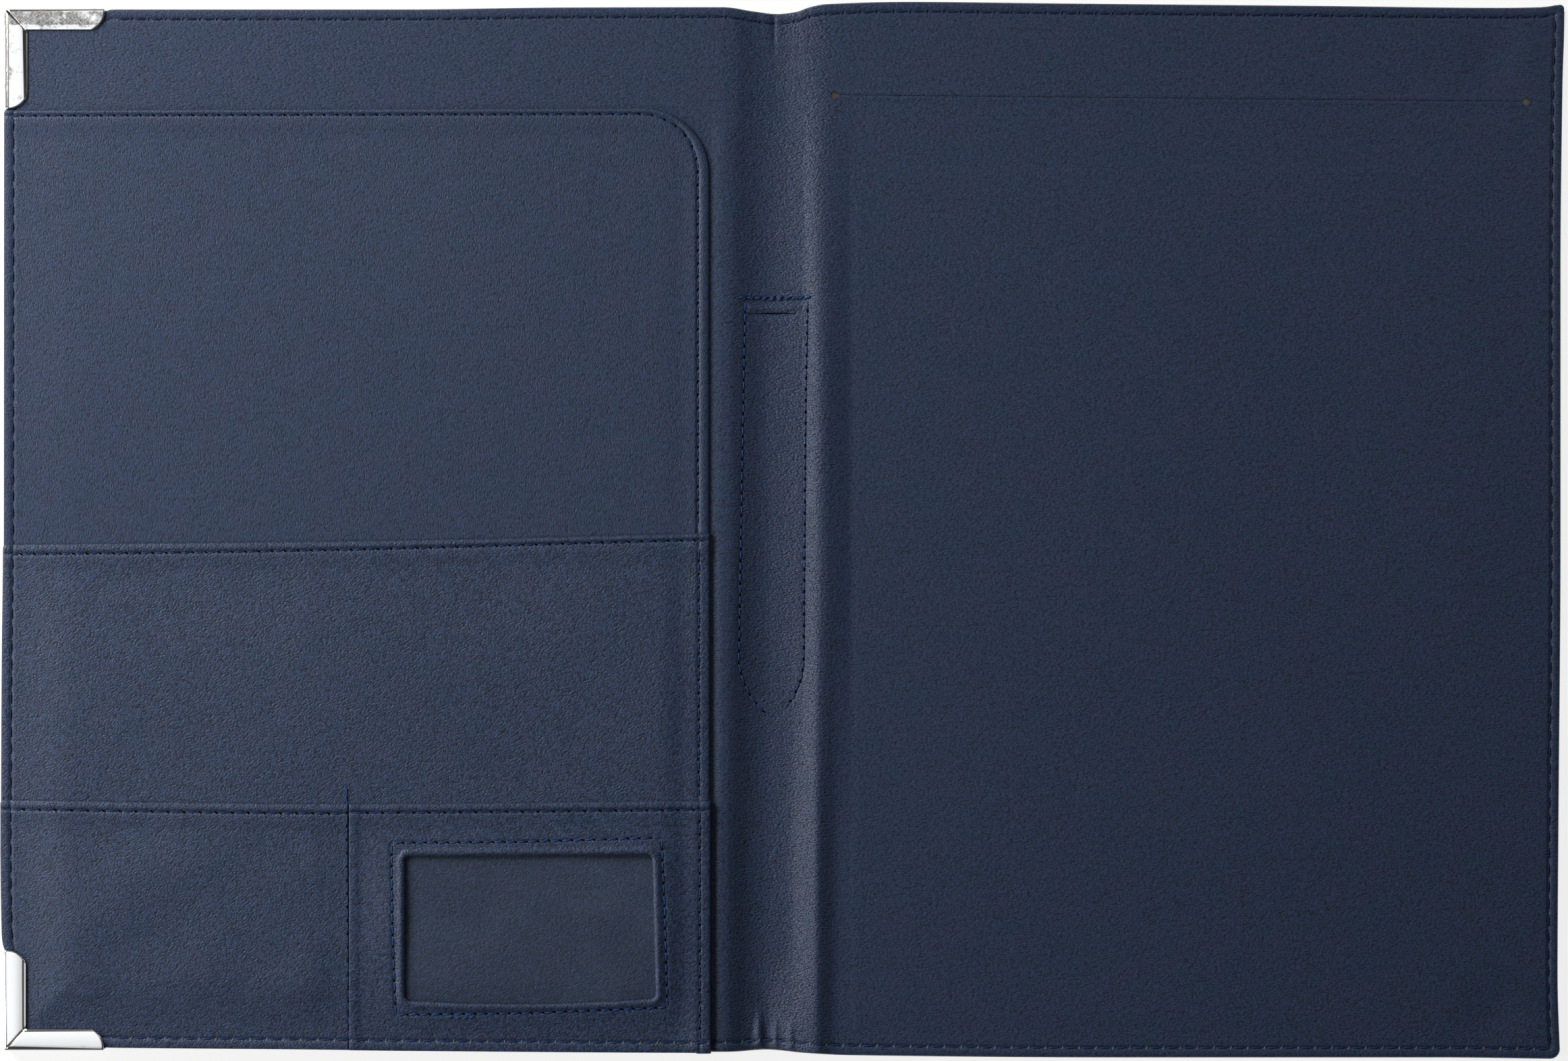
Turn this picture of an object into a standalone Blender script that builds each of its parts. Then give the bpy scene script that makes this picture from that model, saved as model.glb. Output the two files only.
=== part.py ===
"""An A4 document folder in imitation leather, lying open with its inside up.

Metres, +Z up. The origin is at the middle of the underside, +X points to the back cover
and +Y to the top of the pages. Each layer is a piece of its own: skin, padding, board and
lining, then the pockets. The three bodies, back cover, spine and front cover, turn about
two creases, and an empty stands on each crease's axis.
"""

import math

import bmesh
import bpy
from mathutils import Vector

MM = 0.001

# Covers
OPEN_LENGTH = 472 * MM
COVER_HEIGHT = 319.5 * MM
FRONT_SHORTFALL = 3.7 * MM
FRONT_CENTRE_Y = 0.5 * MM
COVER_CORNER_RADIUS = 3 * MM
LOWER_EDGE_RADIUS = 1.8 * MM
UPPER_EDGE_RADIUS = 1.2 * MM
TURN_IN = 12 * MM
EDGE_SETBACK = 0.6 * MM

# Thickness of each layer, and the clearance between one layer and the next
SKIN = 0.7 * MM
PADDING = 1.2 * MM
BOARD = 1.8 * MM
LINING = 0.7 * MM
POCKET_SHEET = 0.6 * MM
SLIT_CARD = 0.5 * MM
PEN_BACKING = 0.5 * MM
FILM = 0.3 * MM
GAP = 0.3 * MM

# Spine: the lining dips into a valley and rises to a ridge beside the back cover's crease
SPINE_WIDTH = 21.8 * MM
SPINE_CENTRE_X = -1.9 * MM
SPINE_TOP_DIP = 1.9 * MM
SPINE_BOTTOM_DIP = 0.5 * MM
FRONT_SLOPE_WIDTH = 3.6 * MM
VALLEY_OFFSET = 0.6 * MM
VALLEY_DEPTH = 1.9 * MM
RIDGE_INSET = 1.6 * MM
RIDGE_RISE = 1.3 * MM
BACK_SLOPE_WIDTH = 10.9 * MM
SPINE_COLUMNS = 20
SLOPE_COLUMNS = 12

# Slit that holds a writing pad's card back, and the stiffening card behind it
PAD_SLIT_LENGTH = 209.8 * MM
PAD_SLIT_WIDTH = 0.5 * MM
PAD_SLIT_DROP = 28.6 * MM
PAD_SLIT_TILT = math.radians(-0.55)
PAD_SLIT_CENTRE_INSET = 115.5 * MM
SLIT_HOLE_DIAMETER = 2.2 * MM
SLIT_CARD_DROP = 50.5 * MM
SLIT_CARD_MARGIN = 1.5 * MM

# Pen pocket in the spine
PEN_SLIT_LENGTH = 14.8 * MM
PEN_SLIT_WIDTH = 0.5 * MM
PEN_SLIT_Y = 66 * MM
PEN_SLIT_OFFSET = -1.4 * MM
PEN_POCKET_WIDTH = 18.6 * MM
PEN_POCKET_LENGTH = 123 * MM
PEN_POCKET_HEAD = 6 * MM
PEN_POINT_LENGTH = 17 * MM
PEN_POINT_FULLNESS = 0.7

# Pockets of the front cover
POCKET_EDGE_INSET = 9.5 * MM
HEM = 10 * MM
HEM_RAMP = 1.5 * MM
FOLD_RADIUS = 0.45 * MM
LARGE_POCKET_RISE = 0.6 * MM
LARGE_POCKET_CORNER_RADIUS = 20 * MM
MIDDLE_POCKET_HEIGHT = 153 * MM
MIDDLE_POCKET_RISE = 3.4 * MM
LOWER_POCKET_HEIGHT = 75 * MM
LOWER_LEFT_WIDTH = 103.7 * MM
CORNER_TRIM = 1.6 * MM

# Card window
WINDOW_WIDTH = 75.4 * MM
WINDOW_HEIGHT = 44.2 * MM
WINDOW_CORNER_RADIUS = 1.6 * MM
WINDOW_INSET = 16.8 * MM
WINDOW_DROP = 16 * MM
WINDOW_ROLL_DIAMETER = 1.2 * MM
FILM_MARGIN = 5.6 * MM

# Metal corner clips
CLIP_LEG = 30.5 * MM
CLIP_WIDTH = 6.8 * MM
CLIP_METAL = 0.6 * MM
CLIP_PROUD = 0.3 * MM
CLIP_OUTER_RADIUS = 2 * MM
CLIP_END_RADIUS = 3.4 * MM
CLIP_TIP_RADIUS = 1.2 * MM
CLIP_LIP = 0.9 * MM
CLIP_LIP_DROP = 0.25 * MM
MITRE_GAP = 0.4 * MM

# How far a cutter reaches past what it cuts, and a sheet past the seam that it is cut off at
PAST = 2 * MM
PAST_HEM = HEM + HEM_RAMP + PAST

# Levels, worked out from the layers
PADDING_Z = SKIN + GAP
BOARD_Z = PADDING_Z + PADDING + GAP
TURN_IN_Z = BOARD_Z + BOARD + GAP
COVER_TOP_Z = TURN_IN_Z + SKIN
LINING_TOP_Z = COVER_TOP_Z + GAP + LINING
POCKET_PITCH = 2 * POCKET_SHEET + GAP

# Places, worked out from the driving sizes
FRONT_HEIGHT = COVER_HEIGHT - FRONT_SHORTFALL
LEFT_X = -OPEN_LENGTH / 2
RIGHT_X = OPEN_LENGTH / 2
FRONT_LEFT_X = LEFT_X + CLIP_PROUD
FRONT_TOP_Y = FRONT_CENTRE_Y + FRONT_HEIGHT / 2 - CLIP_PROUD
FRONT_BOTTOM_Y = FRONT_CENTRE_Y - FRONT_HEIGHT / 2 + CLIP_PROUD
BACK_TOP_Y = COVER_HEIGHT / 2
BACK_BOTTOM_Y = -COVER_HEIGHT / 2
FRONT_FOLD_X = SPINE_CENTRE_X - SPINE_WIDTH / 2
BACK_FOLD_X = SPINE_CENTRE_X + SPINE_WIDTH / 2
CLIP_RECESS = CLIP_METAL + GAP - CLIP_PROUD
BOARD_SETBACK = CLIP_RECESS + SKIN + GAP
POCKET_RIGHT_X = FRONT_FOLD_X - POCKET_EDGE_INSET
SEAM_X = FRONT_LEFT_X + EDGE_SETBACK + LOWER_LEFT_WIDTH


def clear_scene():
    for obj in list(bpy.data.objects):
        bpy.data.objects.remove(obj, do_unlink=True)


def new_collection(name):
    collection = bpy.data.collections.new(name)
    bpy.context.scene.collection.children.link(collection)
    return collection


def material(name, colour, roughness, metallic=0.0, transmission=0.0):
    made = bpy.data.materials.new(name)
    made.use_nodes = True
    shader = made.node_tree.nodes["Principled BSDF"]
    shader.inputs["Base Color"].default_value = (*colour, 1)
    shader.inputs["Roughness"].default_value = roughness
    shader.inputs["Metallic"].default_value = metallic
    shader.inputs["Transmission Weight"].default_value = transmission
    made.diffuse_color = (*colour, 1)
    return made


def leather(name):
    return material(name, (0.026, 0.038, 0.068), 0.45)


def mesh_object(name, bm, collection):
    bmesh.ops.recalc_face_normals(bm, faces=bm.faces)
    mesh = bpy.data.meshes.new(name)
    bm.to_mesh(mesh)
    bm.free()
    mesh.shade_smooth()
    mesh.set_sharp_from_angle(angle=math.radians(35))
    obj = bpy.data.objects.new(name, mesh)
    collection.objects.link(obj)
    return obj


def cutter(name, bm):
    obj = mesh_object(name, bm, CUTTERS)
    obj.hide_render = True
    obj.display_type = "WIRE"
    return obj


def part(name, bm, finish, crease=None):
    """A piece of the folder. One that turns with a crease hangs from that crease's empty."""
    obj = mesh_object(name, bm, FOLDER)
    obj.data.materials.append(finish)
    if crease:
        obj.parent = crease
        obj.matrix_parent_inverse = crease.matrix_world.inverted()
    return obj


def boolean(obj, tool, operation="DIFFERENCE"):
    modifier = obj.modifiers.new(tool.name, "BOOLEAN")
    modifier.object = tool
    modifier.operation = operation


def arc(centre_x, centre_y, radius, start, end, steps=5):
    """Points on a circle from start to end, in degrees."""
    angles = [math.radians(start + (end - start) * i / steps) for i in range(steps + 1)]
    return [(centre_x + radius * math.cos(a), centre_y + radius * math.sin(a)) for a in angles]


def rounded_rectangle(x0, x1, y0, y1, radius, steps=5):
    corners = (
        (x1 - radius, y0 + radius, -90),
        (x1 - radius, y1 - radius, 0),
        (x0 + radius, y1 - radius, 90),
        (x0 + radius, y0 + radius, 180),
    )
    return [p for x, y, start in corners for p in arc(x, y, radius, start, start + 90, steps)]


def rectangle(x0, x1, y0, y1):
    return [(x0, y0), (x1, y0), (x1, y1), (x0, y1)]


def prism(outline, z0, z1):
    """A flat outline raised from z0 to z1."""
    bm = bmesh.new()
    floor = bm.faces.new([bm.verts.new((x, y, z0)) for x, y in outline])
    raised = bmesh.ops.extrude_face_region(bm, geom=[floor])["geom"]
    upper = [v for v in raised if isinstance(v, bmesh.types.BMVert)]
    bmesh.ops.translate(bm, verts=upper, vec=(0, 0, z1 - z0))
    bmesh.ops.recalc_face_normals(bm, faces=bm.faces)
    return bm


def level_edges(bm, z):
    """The edges that lie at one height."""
    return [e for e in bm.edges if all(abs(v.co.z - z) < 1e-6 for v in e.verts)]


def upright_edges(bm):
    return [e for e in bm.edges if (e.verts[0].co.xy - e.verts[1].co.xy).length < 1e-6]


def round_edges(bm, edges, radius, segments=3):
    bmesh.ops.bevel(bm, geom=edges, offset=radius, segments=segments, profile=0.5, affect="EDGES")


def trim(bm, point, outward):
    """Cuts off what lies past a plane and closes the cut."""
    everything = bm.verts[:] + bm.edges[:] + bm.faces[:]
    bmesh.ops.bisect_plane(bm, geom=everything, plane_co=point, plane_no=outward, clear_outer=True)
    bmesh.ops.holes_fill(bm, edges=[e for e in bm.edges if e.is_boundary])


def rounded_block(outline, z0, z1, lower_radius, upper_radius):
    bm = prism(outline, z0, z1)
    round_edges(bm, level_edges(bm, z0), lower_radius)
    round_edges(bm, level_edges(bm, z1), upper_radius)
    return bm


def ease(share):
    """Runs from 0 to 1 with a level start and end."""
    return (1 - math.cos(math.pi * share)) / 2


def lining_top(x):
    """Height of the lining's upper face, from the front cover over the spine to the back cover."""
    valley_x = SPINE_CENTRE_X - VALLEY_OFFSET
    ridge_x = BACK_FOLD_X + RIDGE_INSET
    stations = (
        (FRONT_FOLD_X - FRONT_SLOPE_WIDTH, LINING_TOP_Z),
        (valley_x, LINING_TOP_Z - VALLEY_DEPTH),
        (ridge_x, LINING_TOP_Z + RIDGE_RISE),
        (ridge_x + BACK_SLOPE_WIDTH, LINING_TOP_Z),
    )
    for (x0, z0), (x1, z1) in zip(stations, stations[1:]):
        if x0 <= x <= x1:
            return z0 + (z1 - z0) * ease((x - x0) / (x1 - x0))
    return LINING_TOP_Z


def spine_edge(x, side):
    """The spine's end at x: side is 1 for the top and -1 for the bottom."""
    share = (x - FRONT_FOLD_X) / SPINE_WIDTH
    front = FRONT_TOP_Y if side > 0 else FRONT_BOTTOM_Y
    back = BACK_TOP_Y if side > 0 else BACK_BOTTOM_Y
    dip = SPINE_TOP_DIP if side > 0 else SPINE_BOTTOM_DIP
    return front + (back - front) * share - side * dip * math.sin(math.pi * share) ** 2


def curved_slab(columns, y_low, y_high, z_low, z_high):
    """A slab whose ends and whose lower and upper faces follow functions of x."""
    bm = bmesh.new()
    bmesh.ops.create_grid(bm, x_segments=len(columns) - 1, y_segments=1, size=1)
    floor = bm.verts[:]
    raised = bmesh.ops.extrude_face_region(bm, geom=bm.faces[:])["geom"]
    upper = {v for v in raised if isinstance(v, bmesh.types.BMVert)}
    for vertex in floor + list(upper):
        x = columns[round((vertex.co.x + 1) / 2 * (len(columns) - 1))]
        y = y_high(x) if vertex.co.y > 0 else y_low(x)
        z = z_high(x) if vertex in upper else z_low(x)
        vertex.co = (x, y, z)
    bmesh.ops.recalc_face_normals(bm, faces=bm.faces)
    return bm


def even_columns(x0, x1, count):
    return [x0 + (x1 - x0) * i / count for i in range(count + 1)]


def cover_block(x_fold, x_edge, y0, y1, inset, z0, z1, grow_lower, grow_upper):
    """A cover's body between its fold and its three free edges, drawn in by inset."""
    outward = 1 if x_edge > x_fold else -1
    past_fold = x_fold - outward * 3 * COVER_CORNER_RADIUS
    outline = rounded_rectangle(
        min(past_fold, x_edge - outward * inset),
        max(past_fold, x_edge - outward * inset),
        y0 + inset,
        y1 - inset,
        COVER_CORNER_RADIUS - inset,
    )
    bm = rounded_block(outline, z0, z1, grow_lower, grow_upper)
    trim(bm, (x_fold, 0, 0), (-outward, 0, 0))
    return bm


def cover_skin(name, x_fold, x_edge, y0, y1, crease=None):
    """The outer skin: one sheet under the cover, up its free edges and turned in over the board."""
    outward = 1 if x_edge > x_fold else -1
    body = cover_block(
        x_fold, x_edge, y0, y1, 0, 0, COVER_TOP_Z, LOWER_EDGE_RADIUS, UPPER_EDGE_RADIUS
    )
    skin = part(name, body, leather(name), crease)
    hollow = cover_block(
        x_fold - outward * PAST,
        x_edge,
        y0,
        y1,
        SKIN,
        SKIN,
        TURN_IN_Z,
        LOWER_EDGE_RADIUS - SKIN,
        UPPER_EDGE_RADIUS - SKIN,
    )
    hollow = cutter(name + "_hollow", hollow)
    boolean(skin, hollow)
    inner_x = x_edge - outward * TURN_IN
    past_fold = x_fold - outward * PAST
    window = rectangle(
        min(inner_x, past_fold), max(inner_x, past_fold), y0 + TURN_IN, y1 - TURN_IN
    )
    boolean(skin, cutter(name + "_window", prism(window, TURN_IN_Z - SKIN, COVER_TOP_Z + PAST)))
    return skin, hollow


def cover_layer(x_fold, x_edge, y0, y1, z0, z1):
    """A flat layer between the skin's floor and its turned-in edge."""
    outward = 1 if x_edge > x_fold else -1
    edge = x_edge - outward * BOARD_SETBACK
    outline = rectangle(
        min(x_fold, edge), max(x_fold, edge), y0 + BOARD_SETBACK, y1 - BOARD_SETBACK
    )
    return prism(outline, z0, z1)


def clip_place(corner, along_x, along_y):
    """A point given from a clip's outer corner, inwards along X and along Y."""
    y = FRONT_CENTRE_Y + corner * (FRONT_HEIGHT / 2 - along_y)
    return (LEFT_X + along_x, y)


def clip_shape(corner, points):
    placed = [clip_place(corner, u, v) for u, v in points]
    return placed if corner < 0 else placed[::-1]


def angle_outline(leg, width):
    """An L that reaches past the cover's corner, for cutting."""
    return [
        (-PAST, -PAST),
        (leg, -PAST),
        (leg, width),
        (width, width),
        (width, leg),
        (-PAST, leg),
    ]


def clip_recesses(name, tool_for, grow, depth):
    """Cuts the room that both clips press into the cover, widened by grow."""
    for label, corner in (("top", 1), ("bottom", -1)):
        leg = CLIP_LEG + GAP + grow
        under = clip_shape(corner, angle_outline(leg, CLIP_WIDTH + GAP + grow))
        beside = clip_shape(corner, angle_outline(leg, CLIP_METAL + GAP + grow))
        boolean(tool_for, cutter(f"{name}_{label}_under", prism(under, -PAST, depth)))
        boolean(tool_for, cutter(f"{name}_{label}_beside", prism(beside, -PAST, LINING_TOP_Z)))


def back_cover():
    fold = BACK_FOLD_X + GAP / 2
    edges = (fold, RIGHT_X, BACK_BOTTOM_Y, BACK_TOP_Y)
    cover_skin("back_outer_cover", *edges)
    padding = cover_layer(*edges, PADDING_Z, PADDING_Z + PADDING)
    part("back_padding", padding, material("back_padding", (0.32, 0.32, 0.33), 0.9))
    board = cover_layer(*edges, BOARD_Z, BOARD_Z + BOARD)
    part("back_board", board, material("back_board", (0.3, 0.26, 0.2), 0.9))
    slit_card()
    back_lining(fold)


def slit_card():
    """The card that stiffens the lining below the pad's slit."""
    inner = TURN_IN + SLIT_CARD_MARGIN
    outline = rectangle(
        BACK_FOLD_X + RIDGE_INSET + BACK_SLOPE_WIDTH,
        RIGHT_X - inner,
        BACK_BOTTOM_Y + inner,
        BACK_TOP_Y - SLIT_CARD_DROP,
    )
    z0 = BOARD_Z + BOARD + GAP
    body = prism(outline, z0, z0 + SLIT_CARD)
    part("pad_slit_card", body, material("pad_slit_card", (0.72, 0.68, 0.58), 0.8))


def back_lining(fold):
    flat_x = BACK_FOLD_X + RIDGE_INSET + BACK_SLOPE_WIDTH
    edge = RIGHT_X - EDGE_SETBACK
    body = curved_slab(
        even_columns(fold, flat_x, SLOPE_COLUMNS) + [edge],
        lambda x: BACK_BOTTOM_Y + EDGE_SETBACK,
        lambda x: BACK_TOP_Y - EDGE_SETBACK,
        lambda x: lining_top(x) - LINING,
        lining_top,
    )
    corners = [e for e in upright_edges(body) if e.verts[0].co.x > edge - EDGE_SETBACK]
    round_edges(body, corners, COVER_CORNER_RADIUS - EDGE_SETBACK, 5)
    lining = part("back_lining", body, leather("back_lining"))
    boolean(lining, pad_slit())


def pad_slit():
    """A straight slit with a round relief hole at each end."""
    half = PAD_SLIT_LENGTH / 2
    z0 = COVER_TOP_Z - PAST
    z1 = LINING_TOP_Z + PAST
    radius = SLIT_HOLE_DIAMETER / 2
    neck = math.degrees(math.asin(PAD_SLIT_WIDTH / 2 / radius))
    right = arc(half, 0, radius, neck - 180, 180 - neck, 16)
    left = arc(-half, 0, radius, neck, 360 - neck, 16)
    bm = prism(right + left, z0, z1)
    tool = cutter("pad_slit", bm)
    centre_x = RIGHT_X - PAD_SLIT_CENTRE_INSET
    tool.location = (centre_x, BACK_TOP_Y - PAD_SLIT_DROP, 0)
    tool.rotation_euler.z = PAD_SLIT_TILT
    return tool


def spine(crease):
    x0 = FRONT_FOLD_X + GAP / 2
    x1 = BACK_FOLD_X - GAP / 2
    spine_skin(x0, x1, crease)
    spine_padding(x0, x1, crease)
    pen_pocket_backing(crease)
    columns = even_columns(x0, x1, SPINE_COLUMNS)
    body = curved_slab(
        columns,
        lambda x: spine_edge(x, -1) + EDGE_SETBACK,
        lambda x: spine_edge(x, 1) - EDGE_SETBACK,
        lambda x: lining_top(x) - LINING,
        lining_top,
    )
    lining = part("spine_lining", body, leather("spine_lining"), crease)
    slit_x = SPINE_CENTRE_X + PEN_SLIT_OFFSET
    slit = rectangle(
        slit_x - PEN_SLIT_LENGTH / 2,
        slit_x + PEN_SLIT_LENGTH / 2,
        PEN_SLIT_Y - PEN_SLIT_WIDTH / 2,
        PEN_SLIT_Y + PEN_SLIT_WIDTH / 2,
    )
    boolean(lining, cutter("pen_slit", prism(slit, 0, LINING_TOP_Z + RIDGE_RISE + PAST)))


def spine_skin(x0, x1, crease):
    """The outer skin under the spine, turned up and in at both ends to follow the lining."""

    def top(x):
        return lining_top(x) - LINING - GAP

    body = curved_slab(
        even_columns(x0, x1, SPINE_COLUMNS),
        lambda x: spine_edge(x, -1),
        lambda x: spine_edge(x, 1),
        lambda x: 0,
        top,
    )
    skin = part("spine_outer_cover", body, leather("spine_outer_cover"), crease)
    past = even_columns(x0 - PAST, x1 + PAST, SPINE_COLUMNS)
    hollow = curved_slab(
        past,
        lambda x: spine_edge(x, -1) + SKIN,
        lambda x: spine_edge(x, 1) - SKIN,
        lambda x: SKIN,
        lambda x: top(x) - SKIN,
    )
    boolean(skin, cutter("spine_hollow", hollow))
    window = curved_slab(
        past,
        lambda x: spine_edge(x, -1) + TURN_IN,
        lambda x: spine_edge(x, 1) - TURN_IN,
        lambda x: top(x) - 2 * SKIN,
        lambda x: top(x) + PAST,
    )
    boolean(skin, cutter("spine_window", window))


def spine_padding(x0, x1, crease):
    body = curved_slab(
        even_columns(x0, x1, 4),
        lambda x: spine_edge(x, -1) + BOARD_SETBACK,
        lambda x: spine_edge(x, 1) - BOARD_SETBACK,
        lambda x: PADDING_Z,
        lambda x: PADDING_Z + PADDING,
    )
    part("spine_padding", body, material("spine_padding", (0.32, 0.32, 0.33), 0.9), crease)


def pen_pocket_backing(crease):
    """The sheet behind the spine's lining that makes the pen pocket, drawn to a point below."""
    centre = SPINE_CENTRE_X
    half = PEN_POCKET_WIDTH / 2
    shoulder_y = PEN_SLIT_Y - PEN_POCKET_LENGTH + PEN_POINT_LENGTH

    def point(x):
        share = max(0, 1 - abs(x - centre) / half)
        return shoulder_y - PEN_POINT_LENGTH * share**PEN_POINT_FULLNESS

    body = curved_slab(
        even_columns(centre - half, centre + half, SPINE_COLUMNS),
        point,
        lambda x: PEN_SLIT_Y + PEN_POCKET_HEAD,
        lambda x: lining_top(x) - LINING - GAP - PEN_BACKING,
        lambda x: lining_top(x) - LINING - GAP,
    )
    part("pen_pocket_backing", body, leather("pen_pocket_backing"), crease)


def front_cover(crease):
    fold = FRONT_FOLD_X - GAP / 2
    edges = (fold, FRONT_LEFT_X, FRONT_BOTTOM_Y, FRONT_TOP_Y)
    skin, hollow = cover_skin("front_outer_cover", *edges, crease)
    clip_recesses("skin_press", skin, 0, CLIP_METAL + GAP)
    clip_recesses("hollow_press", hollow, SKIN, CLIP_METAL + GAP + SKIN)
    padding = cover_layer(*edges, PADDING_Z, PADDING_Z + PADDING)
    finish = material("front_padding", (0.32, 0.32, 0.33), 0.9)
    padding = part("front_padding", padding, finish, crease)
    clip_recesses("padding_press", padding, SKIN + GAP, BOARD_Z)
    board = cover_layer(*edges, BOARD_Z, BOARD_Z + BOARD)
    part("front_board", board, material("front_board", (0.3, 0.26, 0.2), 0.9), crease)
    front_lining(fold, crease)
    pockets(crease)
    for name, corner, clamped_z in (
        ("top_corner_clip", 1, LINING_TOP_Z),
        ("bottom_corner_clip", -1, pocket_floor(1) + POCKET_SHEET),
    ):
        corner_clip(name, corner, clamped_z + GAP + CLIP_METAL, crease)


def front_lining(fold, crease):
    edge = FRONT_LEFT_X + EDGE_SETBACK
    body = curved_slab(
        [edge] + even_columns(FRONT_FOLD_X - FRONT_SLOPE_WIDTH, fold, 4),
        lambda x: FRONT_BOTTOM_Y + EDGE_SETBACK,
        lambda x: FRONT_TOP_Y - EDGE_SETBACK,
        lambda x: lining_top(x) - LINING,
        lining_top,
    )
    corners = [e for e in upright_edges(body) if e.verts[0].co.x < edge + EDGE_SETBACK]
    round_edges(body, corners, COVER_CORNER_RADIUS - EDGE_SETBACK, 5)
    part("front_lining", body, leather("front_lining"), crease)


def pocket_floor(layer):
    """Underside of a pocket sheet: layer 0 lies on the lining, and the next ones on its hems."""
    return LINING_TOP_Z + GAP + layer * POCKET_PITCH


def pocket_sheet(outline, layer, sewn):
    """A sheet with a turned-under hem along its free edges. It is cut off flat where it is sewn."""
    z0 = pocket_floor(layer)
    bm = prism(outline, z0, z0 + 2 * POCKET_SHEET)
    top = max(bm.faces, key=lambda f: f.calc_center_median().z)
    bmesh.ops.inset_region(bm, faces=[top], thickness=HEM, use_even_offset=True)
    bmesh.ops.inset_region(
        bm, faces=[top], thickness=HEM_RAMP, depth=-POCKET_SHEET, use_even_offset=True
    )
    rim = [
        e
        for e in level_edges(bm, z0) + level_edges(bm, z0 + 2 * POCKET_SHEET)
        if any(abs(f.normal.z) < 0.5 for f in e.link_faces)
    ]
    round_edges(bm, rim, FOLD_RADIUS, 2)
    for point, outward in sewn:
        trim(bm, point, outward)
    return bm


def sewn_edges():
    """The planes of the seams at the left and the bottom, and of the corner between them."""
    x = FRONT_LEFT_X + EDGE_SETBACK
    y = FRONT_BOTTOM_Y + EDGE_SETBACK
    return [
        ((x, 0, 0), (-1, 0, 0)),
        ((0, y, 0), (0, -1, 0)),
        ((x + CORNER_TRIM, y, 0), (-1, -1, 0)),
    ]


def pockets(crease):
    left = FRONT_LEFT_X - PAST_HEM
    bottom = FRONT_BOTTOM_Y - PAST_HEM
    large_pocket(left, bottom, crease)
    middle_pocket(left, bottom, crease)
    lower_left_pocket(left, bottom, crease)
    card_pocket(bottom, crease)
    window_film(crease)


def large_pocket(left, bottom, crease):
    top_left = FRONT_TOP_Y + CLIP_PROUD - CLIP_LEG - GAP
    top_right = top_left + LARGE_POCKET_RISE
    radius = LARGE_POCKET_CORNER_RADIUS
    corner = arc(POCKET_RIGHT_X - radius, top_right - radius, radius, 0, 90, 12)
    outline = [(left, bottom), (POCKET_RIGHT_X, bottom), *corner, (left, top_left)]
    body = pocket_sheet(outline, 0, sewn_edges())
    part("large_pocket", body, leather("large_pocket"), crease)


def middle_pocket(left, bottom, crease):
    top = FRONT_BOTTOM_Y + MIDDLE_POCKET_HEIGHT
    outline = [
        (left, bottom),
        (POCKET_RIGHT_X, bottom),
        (POCKET_RIGHT_X, top + MIDDLE_POCKET_RISE),
        (left, top),
    ]
    body = pocket_sheet(outline, 1, sewn_edges())
    part("middle_pocket", body, leather("middle_pocket"), crease)


def lower_left_pocket(left, bottom, crease):
    top = FRONT_BOTTOM_Y + LOWER_POCKET_HEIGHT
    body = pocket_sheet(rectangle(left, SEAM_X + PAST_HEM, bottom, top), 2, sewn_edges())
    trim(body, (SEAM_X - GAP / 2, 0, 0), (1, 0, 0))
    sheet = part("lower_left_pocket", body, leather("lower_left_pocket"), crease)
    room = clip_shape(-1, angle_outline(CLIP_LEG + GAP, CLIP_WIDTH + GAP))
    z1 = pocket_floor(2) + 2 * POCKET_SHEET + PAST
    boolean(sheet, cutter("clip_room", prism(room, pocket_floor(2) - GAP, z1)))


def card_pocket(bottom, crease):
    """The right-hand lower pocket, with a window whose edge is rolled round a cord of leather."""
    top = FRONT_BOTTOM_Y + LOWER_POCKET_HEIGHT
    outline = rectangle(SEAM_X + GAP / 2, POCKET_RIGHT_X, bottom, top)
    body = pocket_sheet(outline, 2, sewn_edges())
    sheet = part("card_pocket", body, leather("card_pocket"), crease)
    roll = WINDOW_ROLL_DIAMETER / 2
    z0 = pocket_floor(2)
    boolean(sheet, window_roll(roll, z0 + roll), "UNION")
    x0, x1, y0, y1 = window_edges()
    opening = rounded_rectangle(x0, x1, y0, y1, WINDOW_CORNER_RADIUS)
    boolean(sheet, cutter("window_opening", prism(opening, z0 - PAST, z0 + PAST)))


def window_edges():
    x1 = POCKET_RIGHT_X - WINDOW_INSET
    y1 = FRONT_BOTTOM_Y + LOWER_POCKET_HEIGHT - WINDOW_DROP
    return x1 - WINDOW_WIDTH, x1, y1 - WINDOW_HEIGHT, y1


def window_roll(radius, z):
    """The rolled edge: a tube round the opening, its middle line a radius outside it."""
    x0, x1, y0, y1 = window_edges()
    path = rounded_rectangle(
        x0 - radius / 2,
        x1 + radius / 2,
        y0 - radius / 2,
        y1 + radius / 2,
        WINDOW_CORNER_RADIUS + radius / 2,
    )
    curve = bpy.data.curves.new("window_roll", "CURVE")
    curve.dimensions = "3D"
    curve.bevel_depth = radius
    curve.bevel_resolution = 2
    spline = curve.splines.new("POLY")
    spline.points.add(len(path) - 1)
    for point, (x, y) in zip(spline.points, path):
        point.co = (x, y, z, 1)
    spline.use_cyclic_u = True
    guide = bpy.data.objects.new("window_roll_guide", curve)
    CUTTERS.objects.link(guide)
    bpy.context.view_layer.update()
    graph = bpy.context.evaluated_depsgraph_get()
    mesh = bpy.data.meshes.new_from_object(guide.evaluated_get(graph))
    bpy.data.objects.remove(guide)
    bm = bmesh.new()
    bm.from_mesh(mesh)
    bmesh.ops.remove_doubles(bm, verts=bm.verts, dist=1e-6)
    return cutter("window_roll", bm)


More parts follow.
